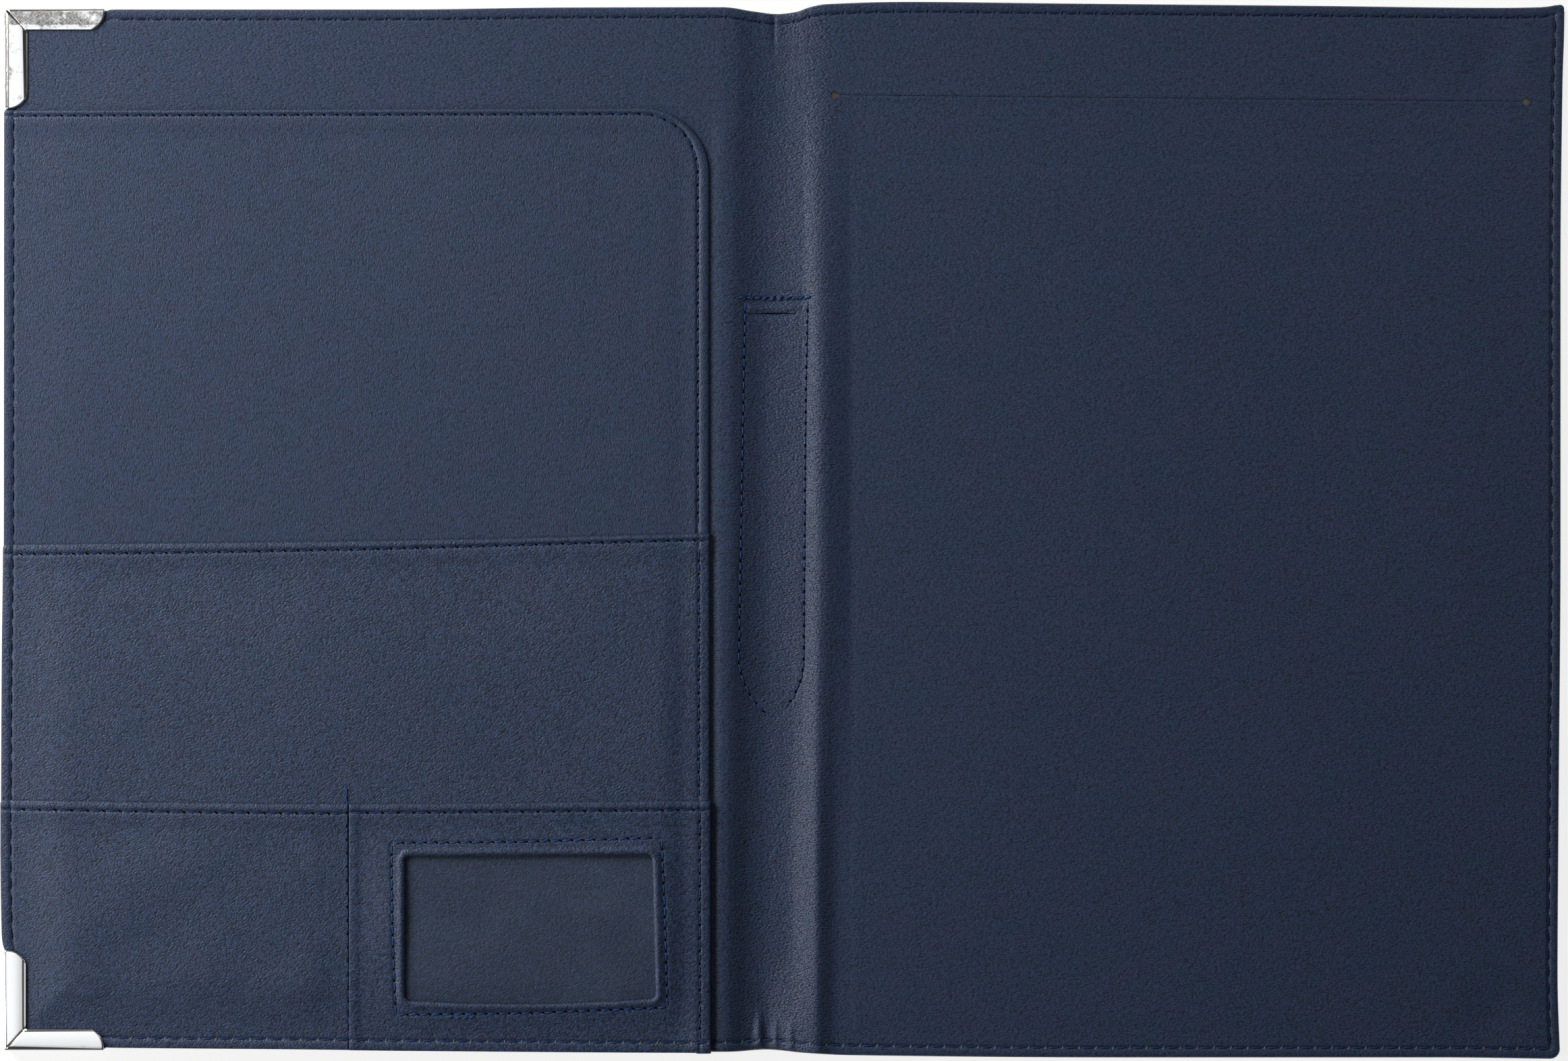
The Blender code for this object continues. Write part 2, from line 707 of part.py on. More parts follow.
def window_film(crease):
    x0, x1, y0, y1 = window_edges()
    outline = rounded_rectangle(
        x0 - FILM_MARGIN,
        x1 + FILM_MARGIN,
        y0 - FILM_MARGIN,
        y1 + FILM_MARGIN,
        WINDOW_CORNER_RADIUS,
    )
    z0 = pocket_floor(2) - GAP - FILM
    finish = material("window_film", (0.85, 0.88, 0.9), 0.1, transmission=1.0)
    part("window_film", prism(outline, z0, z0 + FILM), finish, crease)


def corner_clip(name, corner, height, crease):
    """A pressed channel that grips both edges of a cover's corner, split along the mitre."""
    end = CLIP_END_RADIUS
    tip = CLIP_TIP_RADIUS
    outline = (
        arc(CLIP_OUTER_RADIUS, CLIP_OUTER_RADIUS, CLIP_OUTER_RADIUS, 180, 270)
        + arc(CLIP_LEG - tip, tip, tip, -90, 0, 3)
        + arc(CLIP_LEG - end, CLIP_WIDTH - end, end, 0, 90)
        + [(CLIP_WIDTH, CLIP_WIDTH)]
        + arc(CLIP_WIDTH - end, CLIP_LEG - end, end, 0, 90)
        + arc(tip, CLIP_LEG - tip, tip, 90, 180, 3)
    )
    bm = prism(clip_shape(corner, outline), CLIP_LIP_DROP, height - CLIP_LIP_DROP)
    for face in [f for f in bm.faces if abs(f.normal.z) > 0.9]:
        bmesh.ops.inset_region(
            bm, faces=[face], thickness=CLIP_LIP, depth=CLIP_LIP_DROP, use_even_offset=True
        )
    finish = material(name, (0.72, 0.71, 0.69), 0.18, metallic=1.0)
    clip = part(name, bm, finish, crease)
    channel = clip_shape(corner, channel_outline())
    boolean(clip, cutter(name + "_channel", prism(channel, CLIP_METAL, height - CLIP_METAL)))
    boolean(clip, mitre_cutter(name, corner, height))


def channel_outline():
    """The room inside a clip: it starts one metal thickness from the outer faces."""
    radius = CLIP_OUTER_RADIUS - CLIP_METAL
    centre = CLIP_METAL + radius
    reach = CLIP_LEG + PAST
    depth = CLIP_WIDTH + PAST
    return arc(centre, centre, radius, 180, 270) + [
        (reach, CLIP_METAL),
        (reach, depth),
        (depth, depth),
        (depth, reach),
        (CLIP_METAL, reach),
    ]


def mitre_cutter(name, corner, height):
    """A narrow slot from the inner corner to the web, cut through both flanges."""
    start = CLIP_METAL + CLIP_OUTER_RADIUS * (1 - math.sqrt(0.5))
    reach = CLIP_WIDTH + PAST
    across = MITRE_GAP / 2 * math.sqrt(2)
    slot = [
        (start, start - across),
        (reach, reach - across),
        (reach, reach + across),
        (start, start + across),
    ]
    return cutter(name + "_mitre", prism(clip_shape(corner, slot), -PAST, height + PAST))


def crease_empty(name, x, parent=None):
    """An empty on a crease's axis, which runs along Y in the lining's upper face."""
    empty = bpy.data.objects.new(name, None)
    empty.empty_display_size = SPINE_WIDTH
    FOLDER.objects.link(empty)
    empty.location = Vector((x, 0, lining_top(x)))
    if parent:
        empty.parent = parent
        empty.matrix_parent_inverse = parent.matrix_world.inverted()
    bpy.context.view_layer.update()
    return empty


clear_scene()
FOLDER = new_collection("document_folder")
CUTTERS = new_collection("cutters")
back_crease = crease_empty("back_crease", BACK_FOLD_X)
front_crease = crease_empty("front_crease", FRONT_FOLD_X, back_crease)
back_cover()
spine(back_crease)
front_cover(front_crease)
for crease_axis in (back_crease, front_crease):
    place = crease_axis.matrix_world.translation / MM
    print(f"{crease_axis.name}: x {place.x:.3f} mm, z {place.z:.3f} mm")
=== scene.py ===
"""Looks for the A4 document folder: sewn leather sheets, threads, film and metal round the frame."""

import math
from functools import partial

import bmesh
import bpy
import numpy as np
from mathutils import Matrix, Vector
from mathutils.bvhtree import BVHTree


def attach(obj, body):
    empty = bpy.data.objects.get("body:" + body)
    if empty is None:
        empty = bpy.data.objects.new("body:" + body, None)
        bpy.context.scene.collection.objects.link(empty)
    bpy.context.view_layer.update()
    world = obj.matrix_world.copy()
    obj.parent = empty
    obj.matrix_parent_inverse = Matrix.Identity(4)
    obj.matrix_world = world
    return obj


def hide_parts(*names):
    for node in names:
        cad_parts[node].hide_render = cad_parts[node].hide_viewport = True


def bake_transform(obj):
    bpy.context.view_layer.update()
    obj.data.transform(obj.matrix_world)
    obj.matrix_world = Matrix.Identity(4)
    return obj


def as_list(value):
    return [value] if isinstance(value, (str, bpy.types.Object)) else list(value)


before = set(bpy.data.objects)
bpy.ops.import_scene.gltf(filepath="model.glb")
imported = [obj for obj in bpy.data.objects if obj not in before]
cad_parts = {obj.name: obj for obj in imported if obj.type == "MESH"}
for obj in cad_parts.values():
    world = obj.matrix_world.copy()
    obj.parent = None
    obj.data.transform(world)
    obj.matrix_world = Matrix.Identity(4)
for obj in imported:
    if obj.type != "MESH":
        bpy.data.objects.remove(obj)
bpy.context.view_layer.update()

MM = 0.001

# Everything below is in millimetres, in the frame's own axes, until a mesh is made

# Spine and folds
SPLIT_X = -1.9
FRONT_FOLD_X = -12.8
BACK_FOLD_X = 9.0
# The lining's height across the spine, as (x, z), near the top, half-way, near the bottom and at its end
SPINE_TOP = (
    (-17.5, 6.3), (-14, 6.08), (-11, 5.55), (-8, 5.05), (-5, 4.75), (-2, 4.62), (1, 4.75), (4, 5.15),
    (7, 5.65), (10, 6.05), (13, 6.25), (16, 6.3), (22, 6.3),
)
SPINE_MIDDLE = (
    (-16.8, 6.3), (-15.5, 6.24), (-14.5, 6.09), (-13.5, 5.88), (-12.5, 5.66), (-11.5, 5.41),
    (-10.5, 5.15), (-9.5, 4.91), (-8.5, 4.7), (-7.5, 4.52), (-6.5, 4.38), (-5.5, 4.29), (-4.5, 4.25),
    (-3, 4.29), (-1.5, 4.38), (0.5, 4.54), (2.5, 4.78), (4.5, 5.07), (6.2, 5.34), (7.4, 5.93),
    (8.5, 6.58), (9.5, 7.1), (10.5, 7.47), (11.5, 7.69), (12.4, 7.75), (13.5, 7.69), (15.5, 7.36),
    (17.5, 6.97), (19.5, 6.58), (21, 6.36), (22, 6.3),
)
SPINE_BOTTOM = (
    (-18, 6.3), (-16.5, 6.18), (-15.5, 5.98), (-14.5, 5.77), (-13.5, 5.53), (-12.5, 5.28),
    (-11.5, 5.0), (-10.5, 4.73), (-9.5, 4.49), (-8.5, 4.3), (-7.5, 4.15), (-6.5, 4.04), (-5.5, 3.97),
    (-4.5, 3.95), (-2.5, 4.02), (-0.5, 4.17), (0.5, 4.27), (1.5, 4.41), (2.5, 4.6), (3.5, 4.87),
    (4.5, 5.26), (5.5, 5.71), (6.5, 6.2), (7.5, 6.7), (8.5, 7.2), (9.4, 7.62), (10.2, 7.85),
    (10.8, 7.88), (11.5, 7.75), (12.5, 7.44), (13.5, 7.08), (14.5, 6.75), (15.5, 6.5), (16.5, 6.36),
    (17.5, 6.3), (22, 6.3),
)
SPINE_END = (
    (-18, 6.3), (-16.5, 6.15), (-14, 5.55), (-12, 5.0), (-10, 4.55), (-8, 4.2), (-6, 4.0), (-4.5, 4.0),
    (-3, 4.25), (0, 5.1), (3, 6.0), (6, 6.88), (8, 7.45), (9.4, 7.76), (10.4, 7.88), (11.2, 7.75),
    (12.4, 7.35), (13.6, 6.9), (15, 6.5), (16.5, 6.33), (17.5, 6.3), (22, 6.3),
)
# Gathers at the spine's ends: place across, width, height, the distances from the end at which one
# starts and stops, and 1 at the top or -1 at the bottom
PUCKERS = (
    (-7.2, 2.3, 0.95, 2.2, 14.0, -1), (-2.2, 1.7, 0.6, 2.2, 10.5, -1), (2.4, 1.7, 0.6, 2.2, 10.5, -1),
    (-2.6, 1.1, -0.38, 1.0, 15.0, 1), (-5.2, 1.8, 0.12, 1.0, 11.0, 1), (6.0, 1.5, 0.1, 1.0, 9.0, 1),
)

# Outline of the open folder, as (place along the edge, edge)
TOP_EDGE = (
    (-236, 157.5), (-207, 157.5), (-203.5, 158.3), (-115, 158.3), (-66, 158.9), (-18, 159.0),
    (-9, 157.8), (-1.6, 157.0), (4, 157.6), (8.2, 159.0), (13, 159.9), (36.8, 160.6),
    (86, 160.1), (160, 159.4), (217, 158.8), (229, 159.0), (236.6, 160.3),
)
BOTTOM_EDGE = (
    (-236, -156.5), (-207, -156.5), (-203, -156.6), (-147, -157.1), (-114, -157.5), (-16, -158.1),
    (-5, -157.5), (8, -158.5), (20, -159.1), (102, -159.8), (200, -159.8), (233, -160.2),
)
LEFT_EDGE = (
    (-157, -235.1), (-128.5, -235.1), (-125.5, -236.2), (-122, -236.6), (-95, -237.0),
    (-44, -236.8), (0, -236.35), (126.5, -236.25), (129.5, -235.1), (158, -235.1),
)
RIGHT_EDGE = (
    (-159, 236.0), (-135, 235.3), (-85, 235.6), (-3, 236.2), (79, 236.2), (136, 236.8),
    (152, 237.3), (160, 237.4),
)
# The same covers before they are drawn onto the outline: outer side, bottom and top
FRONT_SIDE = -235.1
FRONT_ENDS = (-156.5, 157.5)
BACK_SIDE = 236.0
BACK_ENDS = (-159.4, 159.4)
CORNER = 3.0
BACK_TOP_CORNER = 1.6

# Sheets
LINING = 0.7
LINING_SETBACK = 0.35
BACKING = 0.5
SKIN = 0.65
SHEET = 0.6
# Round bends of the skin's turned-up edge, how far in the flat part ends, and the height of the edge
SKIN_BEND = 1.8
SKIN_RIM = 1.2
FLAT_INSET = 3.0
WALL_TOP = 5.0

# Sewing: distances of the seams from the edges, and pitches of the stitches
RIM_SEAM = 2.8
SIDE_SEAM = 3.4
LARGE_SEAM = 1.8
LOWER_LEFT_SEAM = 2.9
CARD_SEAM = 2.7
RIM_PITCH = 5.1
HEM_PITCH = 4.0
LOWER_PITCH = 4.8
PEN_PITCH = 3.4
TACK_PITCH = 2.3
WINDOW_PITCH = 3.4
HOLE_TILT = math.radians(-24)
TICK_TILT = 1.2

# Pockets
LARGE_TOP = ((-236, 127.6), (-22, 128.2))
LARGE_RIGHT = -22.3
LARGE_CORNER = 20.0
MIDDLE_TOP = ((-236, -4.1), (-120, -2.9), (-22, -0.7))
MIDDLE_RIGHT = -22.0
LOWER_TOP = ((-236, -81.4), (-131, -82.6), (-22, -81.7))
CARD_RIGHT = -21.7
SEAM_X = -131.4
FOLD_Z = 6.45
WINDOW = (-114.4, -39.0, -142.3, -98.3)
WINDOW_CORNER = 1.6
WINDOW_SEAM = [(-118.4, -94.4), (-80, -94.1), (-36.6, -92.8), (-35.6, -118), (-34.9, -144.2)]
WINDOW_SEAM += [(-75, -145.9), (-117.2, -146.5), (-118.1, -120), (-118.4, -94.4)]

# Pad slit and pen pocket
SLIT_CENTRE = (120.5, 131.15)
SLIT_HALF = 104.9
SLIT_TILT = math.tan(math.radians(-0.55))
SLIT_HOLE = 1.15
SLIT_GAP = 0.14
PEN_SLIT_Y = 66.0
PEN_SLIT_HALF = 0.14
PEN_SLIT = (-10.7, 4.1)
PEN_LEFT = [(-11.3, 69.8), (-11.9, 40), (-13.3, -40.3), (-12.2, -45), (-9.6, -50.5), (-6.4, -54.3)]
PEN_LEFT += [(-3.0, -56.9)]
PEN_RIGHT = [(7.6, 70.2), (7.0, 40), (6.4, -40.3), (5.6, -45), (3.2, -50.5), (0.2, -54.3), (-1.6, -56.0)]
PEN_OUTLINE = PEN_LEFT[::-1] + [(-12.6, 70.7), (8.2, 70.5)] + PEN_RIGHT + PEN_LEFT[-1:]

# Metal corner clips
CLIP_X = -236.0
CLIP_METAL = 0.6
CLIP_LEG = 30.5
CLIP_WALL_ROUND = 1.1
# Rows along a leg, as shares of its length, close together at both cut ends
CLIP_SHARES = (0, 0.004, 0.01, 0.018, 0.05, 0.15, 0.3, 0.45, 0.6)
CLIP_SHARES += (0.75, 0.88, 0.94, 0.965, 0.98, 0.99, 0.996, 1)
# How a lip falls across its width: evenly, or in a steep step beside the plate or half-way
EVEN_LIP = ((0.12, 0.14), (0.35, 0.45), (0.7, 0.82), (0.92, 0.97), (1.0, 1.0))
STEPPED_LIP = ((0.1, 0.3), (0.25, 0.85), (0.4, 0.95), (0.75, 0.98), (1.0, 1.0))
LATE_LIP = ((0.12, 0.02), (0.3, 0.1), (0.5, 0.65), (0.62, 0.9), (1.0, 1.0))


def along(stations, at):
    """A smooth line through the stations, read at each place."""
    places, values = np.array(stations, float).T
    secants = np.diff(values) / np.diff(places)
    slopes = np.zeros(len(values))
    before, after = secants[:-1], secants[1:]
    same = before * after > 0
    slopes[1:-1][same] = 2 * before[same] * after[same] / (before + after)[same]
    slopes[0], slopes[-1] = secants[0], secants[-1]
    at = np.clip(at, places[0], places[-1])
    index = np.clip(np.searchsorted(places, at) - 1, 0, len(places) - 2)
    width = places[index + 1] - places[index]
    t = (at - places[index]) / width
    return (
        values[index] * (1 + 2 * t) * (1 - t) ** 2
        + slopes[index] * width * t * (1 - t) ** 2
        + values[index + 1] * t**2 * (3 - 2 * t)
        + slopes[index + 1] * width * t**2 * (t - 1)
    )


top_edge = partial(along, TOP_EDGE)
bottom_edge = partial(along, BOTTOM_EDGE)
left_edge = partial(along, LEFT_EDGE)
right_edge = partial(along, RIGHT_EDGE)


def inset(edge, by):
    return lambda at: edge(at) + by


def step(value, low, high):
    """0 before low, 1 after high, smooth between."""
    t = np.clip((value - low) / (high - low), 0, 1)
    return t * t * (3 - 2 * t)


def band(value, low, full, falls, ends):
    """1 between two soft sides, the first from low to full and the second from falls to ends."""
    return step(value, low, full) * (1 - step(value, falls, ends))


def hump(value, centre, half):
    """1 at the centre, 0 from half away on."""
    return (1 + np.cos(np.pi * np.clip(np.abs(value - centre) / half, 0, 1))) / 2


def bell(value, width):
    """1 at 0, falling off softly on both sides."""
    return np.exp(-((value / width) ** 2))


def half_round(distance, radius):
    """How full a sheet with a round edge is at a distance from that edge."""
    return np.sqrt(np.clip(1 - (1 - np.clip(distance / radius, 0, 1)) ** 2, 0, 1))


def waves(x, y, seed, length, count=7):
    """Soft unevenness of about unit height."""
    rng = np.random.RandomState(seed)
    total = np.zeros(np.broadcast(x, y).shape)
    for _ in range(count):
        angle, phase = rng.uniform(0, 2 * np.pi, 2)
        wave = length * rng.uniform(0.6, 1.6)
        total += np.sin(2 * np.pi * (x * np.cos(angle) + y * np.sin(angle)) / wave + phase)
    return total / math.sqrt(count)


def path_distance(x, y, path):
    """Distance from each point to a line of straight stretches."""
    found = np.full(np.shape(x), 1e3)
    for (x0, y0), (x1, y1) in zip(path, path[1:]):
        dx, dy = x1 - x0, y1 - y0
        t = np.clip(((x - x0) * dx + (y - y0) * dy) / (dx * dx + dy * dy), 0, 1)
        found = np.minimum(found, np.hypot(x - x0 - t * dx, y - y0 - t * dy))
    return found


# Grids and sheets


def lines(low, high, spacing, *fine):
    """Grid lines from low to high. Each (from, to, spacing) makes a stretch finer."""
    found = np.linspace(low, high, max(2, round((high - low) / spacing) + 1))
    for start, end, small in fine:
        start, end = max(start, low), min(end, high)
        if end - start < small / 2:
            continue
        found = found[(found < start - small / 2) | (found > end + small / 2)]
        found = np.append(found, np.linspace(start, end, max(2, round((end - start) / small) + 1)))
    found = np.unique(np.append(found, (low, high)).round(4))
    return found[np.append(np.diff(found), 1) > 0.02]


def rim_fine(low, high, low_side=True, high_side=True):
    """Finer grid lines beside the edges that are sewn."""
    fine = []
    if low_side:
        fine += [(low, low + 0.5, 0.1), (low + 0.5, low + 4.4, 0.3)]
    if high_side:
        fine += [(high - 0.5, high, 0.1), (high - 4.4, high - 0.5, 0.3)]
    return fine


def cell_middles(values):
    return (values[:-1, :-1] + values[1:, 1:]) / 2


class Grid:
    """A sheet's grid between four straight edges, whose corners are bent round."""

    def __init__(self, us, vs, radii=(0, 0, 0, 0)):
        self.us, self.vs = us, vs
        self.u, self.v = np.meshgrid(us, vs, indexing="ij")
        self.corners = []
        for radius, sides in zip(radii, ("WS", "ES", "EN", "WN")):
            if not radius:
                continue
            inward_x = 1 if "W" in sides else -1
            inward_y = 1 if "S" in sides else -1
            cx = us[0 if "W" in sides else -1] + inward_x * radius
            cy = vs[0 if "S" in sides else -1] + inward_y * radius
            p, q = (cx - self.u) * inward_x, (cy - self.v) * inward_y
            near = (p > 0) & (q > 0)
            ring, angle = np.maximum(p, q), np.arctan2(q, p)
            self.u = np.where(near, cx - inward_x * ring * np.cos(angle), self.u)
            self.v = np.where(near, cy - inward_y * ring * np.sin(angle), self.v)
            self.corners.append((sides, near, radius - ring))

    def distance(self, sides):
        """Distance to the nearest of the named edges, which are some of W, E, S and N."""
        each = {
            "W": self.u - self.us[0],
            "E": self.us[-1] - self.u,
            "S": self.v - self.vs[0],
            "N": self.vs[-1] - self.v,
        }
        found = np.minimum.reduce([each[s] for s in sides])
        for corner, near, value in self.corners:
            if set(corner) <= set(sides):
                found = np.where(near, value, found)
        return found

    def place(self, left=None, right=None, bottom=None, top=None):
        """Stretches the grid so that its edges follow lines given by functions."""
        u0, u1, v0, v1 = self.us[0], self.us[-1], self.vs[0], self.vs[-1]
        low = bottom(self.u) if bottom else v0
        high = top(self.u) if top else v1
        y = low + (self.v - v0) * (high - low) / (v1 - v0)
        near = left(y) if left else u0
        far = right(y) if right else u1
        x = near + (self.u - u0) * (far - near) / (u1 - u0)
        return x, y


def new_object(name, vertices, faces, sharp=50):
    mesh = bpy.data.meshes.new(name)
    mesh.from_pydata(vertices * MM, [], faces)
    bm = bmesh.new()
    bm.from_mesh(mesh)
    bmesh.ops.remove_doubles(bm, verts=bm.verts, dist=2e-6)
    bmesh.ops.delete(bm, geom=[v for v in bm.verts if not v.link_faces], context="VERTS")
    bmesh.ops.recalc_face_normals(bm, faces=bm.faces)
    bm.to_mesh(mesh)
    bm.free()
    mesh.shade_smooth()
    mesh.set_sharp_from_angle(angle=math.radians(sharp))
    obj = bpy.data.objects.new(name, mesh)
    bpy.context.scene.collection.objects.link(obj)
    return obj


def shell(name, upper, lower, keep=None):
    """A closed sheet from two grids of points, upper and lower, with walls round its edges."""
    rows, columns = upper.shape[:2]
    count = rows * columns
    index = np.arange(count).reshape(rows, columns)
    kept = np.ones((rows - 1, columns - 1), bool) if keep is None else keep
    a, b, c, d = index[:-1, :-1], index[1:, :-1], index[1:, 1:], index[:-1, 1:]
    quads = np.stack([a, b, c, d], -1)[kept]
    faces = [quads, quads[:, ::-1] + count]
    padded = np.pad(kept, 1)
    for across, up, first, second in ((0, 1, d, a), (2, 1, b, c), (1, 0, a, b), (1, 2, c, d)):
        edge = kept & ~padded[across : across + rows - 1, up : up + columns - 1]
        p, q = first[edge], second[edge]
        faces.append(np.stack([q, p, p + count, q + count], -1))
    vertices = np.concatenate([upper.reshape(-1, 3), lower.reshape(-1, 3)])
    return new_object(name, vertices, np.concatenate(faces).tolist())


def sheet_between(name, x, y, upper, lower, fullness=1, keep=None):
    """A sheet whose two faces meet in a round edge where its fullness falls to 0."""
    middle, half = (upper + lower) / 2, (upper - lower) / 2 * fullness
    return shell(name, np.stack([x, y, middle + half], -1), np.stack([x, y, middle - half], -1), keep)


# Linings


def spine_height(x, y):
    """Upper face of the lining, with the valley and the ridge beside the back cover."""
    top = np.interp(y, (40, 144), (0, 1))
    end = np.interp(-y, (128, 150), (0, 1))
    bottom = np.interp(-y, (20, 100), (0, 1)) - end
    middle = 1 - top - bottom - end
    low = bottom * along(SPINE_BOTTOM, x) + end * along(SPINE_END, x)
    return top * along(SPINE_TOP, x) + middle * along(SPINE_MIDDLE, x) + low


def puckers(x, y):
    """Gathers where the spine's lining is sewn shorter at its ends."""
    total = np.zeros(np.broadcast(x, y).shape)
    for place, width, height, start, end, side in PUCKERS:
        inward = top_edge(x) - y if side > 0 else y - bottom_edge(x)
        narrow = width * (1 - 0.35 * step(inward, start, end))
        total += height * band(inward, start - 2, start, end * 0.35, end) * hump(x, place, narrow)
    return total


def pricks(s, pitch):
    """1 at the needle holes, which are a pitch apart along a seam, and 0 between them."""
    return np.cos(np.pi * s / pitch) ** 8


def rim_relief(distance, s):
    """The groove of the seam along the rim and the fuller strip outside it. s runs along the seam."""
    groove = (0.26 + 0.16 * pricks(s, RIM_PITCH)) * bell(distance - RIM_SEAM, 0.42)
    return 0.1 * hump(distance, 1.2, 1.3) - groove


def slit_line(x):
    return SLIT_CENTRE[1] + SLIT_TILT * (x - SLIT_CENTRE[0])


def soft_waves(x, y, rim):
    return 0.10 * waves(x, y, 3, 95) * step(rim, 3, 30)


def lining_height(x, y, rim, s):
    """Upper face of the lining, with what shows through it, its dents, the slits' lips and the seams."""
    pockets = np.interp(-y, (-127, -122, 0, 6, 80, 86), (0, 0.25, 0.3, 0.55, 0.55, 0.65))
    pockets = pockets * band(x, -21.3, -19.6, -17.5, -10.5)
    card = 0.1 * band(x, 19.8, 22.8, 200, 222) * band(-y, -111.0, -108.0, 146, 152)
    dents = -0.5 * bell(x - 214, 9) * bell(y - 141, 8)
    dents = dents - 0.4 * bell(x - 215, 8) * bell(y + 146, 7)
    dents = dents + 0.3 * bell(x - 226, 5) * bell(y - 146, 7)
    lips = 0.07 * hump(np.abs(y - slit_line(x)), 0.9, 0.9) * band(x, 14, 17, 224, 227)
    above = y - PEN_SLIT_Y
    flap = 0.28 * hump(above, 1.5, 1.7) * (above > 0) - 0.2 * hump(above, -0.6, 1.2) * (above < 0)
    flap = flap * band(x, -11.5, -9.5, 2.5, 4.5)
    pen_groove = -0.2 * bell(path_distance(x, y, PEN_OUTLINE), 0.45)
    relief = pockets + card + dents + lips + flap + pen_groove + puckers(x, y) + rim_relief(rim, s)
    return spine_height(x, y) + soft_waves(x, y, rim) + relief


def seam_place(grid, x, y):
    """Place along the rim's seam: x beside the ends' seams and y beside the side's."""
    ends = grid.distance("SN")
    sides = np.minimum(np.abs(x - left_edge(y)), np.abs(right_edge(y) - x))
    return np.where(ends < sides, x, y)


def cut_hole(x, y, keep, centre, radius):
    """Takes the cells in a round hole out of a grid and draws the cut's edge onto the circle."""
    inside = np.hypot(cell_middles(x) - centre[0], cell_middles(y) - centre[1]) < radius
    keep &= ~inside
    touched = np.zeros(x.shape, bool)
    for rows in (slice(0, -1), slice(1, None)):
        for columns in (slice(0, -1), slice(1, None)):
            touched[rows, columns] |= inside
    dx, dy = x - centre[0], y - centre[1]
    length = np.maximum(np.hypot(dx, dy), 1e-6)
    snap = touched & (length > radius * 0.72)
    x[snap] = (centre[0] + dx / length * radius)[snap]
    y[snap] = (centre[1] + dy / length * radius)[snap]


def lining_grid(us, vs, radii, **side):
    """A lining's grid on the folder's outline, with the pen slit's two edges among its lines."""
    vs = np.unique(np.append(vs, (PEN_SLIT_Y - PEN_SLIT_HALF, PEN_SLIT_Y + PEN_SLIT_HALF)).round(3))
    grid = Grid(us, vs, radii)
    x, y = grid.place(
        bottom=inset(bottom_edge, LINING_SETBACK), top=inset(top_edge, -LINING_SETBACK), **side
    )
    row = int(np.argmin(np.abs(grid.vs - PEN_SLIT_Y)))
    y = y + (PEN_SLIT_Y - y[:, row : row + 1]) * hump(grid.v, PEN_SLIT_Y, 12)
    # The slit stands open in its middle and closes to a fine line at both ends
    near = band(x, -14, -11, 4.5, 7) * hump(grid.v, PEN_SLIT_Y, 1.6)
    y = y + np.sign(grid.v - PEN_SLIT_Y) * near * (0.24 * hump(x, -2.3, 6.8) - 0.09)
    return grid, x, y


def lining_sheet(name, grid, x, y, sides, keep):
    rim = grid.distance(sides)
    z = lining_height(x, y, rim, seam_place(grid, x, y))
    return sheet_between(name, x, y, z, z - LINING, half_round(rim, LINING / 2), keep)


def make_lining_front():
    us = lines(FRONT_SIDE, SPLIT_X, 1.25, *rim_fine(FRONT_SIDE, 0, high_side=False), (-17, SPLIT_X, 0.5))
    beside_slit = ((64.5, 65.8, 0.2), (65.8, 66.2, 0.2), (66.2, 68.4, 0.3))
    vs = lines(*FRONT_ENDS, 1.25, *rim_fine(*FRONT_ENDS), *beside_slit)
    grid, x, y = lining_grid(us, vs, (CORNER, 0, 0, CORNER), left=inset(left_edge, LINING_SETBACK))
    mx, my = cell_middles(grid.u), cell_middles(grid.v)
    keep = ~((np.abs(my - PEN_SLIT_Y) < PEN_SLIT_HALF) & (mx > PEN_SLIT[0]))
    return lining_sheet("lining_front", grid, x, y, "WSN", keep)


def make_lining_back():
    holes = SLIT_CENTRE[0] - SLIT_HALF, SLIT_CENTRE[0] + SLIT_HALF
    slit = SLIT_CENTRE[1]
    beside_holes = [(hole - 1.4, hole + 1.4, 0.2) for hole in holes]
    us = lines(
        SPLIT_X, BACK_SIDE, 1.25, *rim_fine(0, BACK_SIDE, low_side=False), (SPLIT_X, 24, 0.5), *beside_holes
    )
    beside_slits = ((64.5, 68.4, 0.3), (slit - 1.4, slit + 1.4, 0.2), (107, 112, 0.5))
    vs = lines(*BACK_ENDS, 1.25, *rim_fine(*BACK_ENDS), *beside_slits)
    vs = np.append(vs[np.abs(vs - slit) > 0.12], (slit - SLIT_GAP / 2, slit + SLIT_GAP / 2))
    radii = (0, CORNER, BACK_TOP_CORNER, 0)
    grid, x, y = lining_grid(us, vs, radii, right=inset(right_edge, -LINING_SETBACK))
    row = int(np.argmin(np.abs(grid.vs - slit + SLIT_GAP / 2)))
    y = y + (slit_line(x[:, row : row + 1]) - y[:, row : row + 1]) * hump(grid.v, slit, 22)
    mx, my = cell_middles(grid.u), cell_middles(grid.v)
    keep = ~((np.abs(my - PEN_SLIT_Y) < PEN_SLIT_HALF) & (mx < PEN_SLIT[1]))
    keep &= ~((np.abs(my - slit) < SLIT_GAP / 2) & (mx > holes[0]) & (mx < holes[1]))
    for hole in holes:
        cut_hole(x, y, keep, (hole, float(slit_line(hole))), SLIT_HOLE)
    return lining_sheet("lining_back", grid, x, y, "ESN", keep)


def make_backing():
    """The sheet behind the spine's lining that makes the pen pocket, drawn to a point at the bottom."""
    grid = Grid(lines(0, 1, 0.05), lines(-55.5, 69.5, 2.0))
    y = grid.v
    left_x, left_y = np.array(PEN_LEFT[::-1]).T
    right_x, right_y = np.array(PEN_RIGHT[::-1]).T
    left = np.interp(y, left_y, left_x) + 0.4
    right = np.interp(y, right_y, right_x) - 0.9
    x = left + (right - left) * grid.u
    upper = spine_height(x, y) - LINING - 0.3
    return sheet_between("pen_backing", x, y, upper, upper - BACKING)


# Outer skins


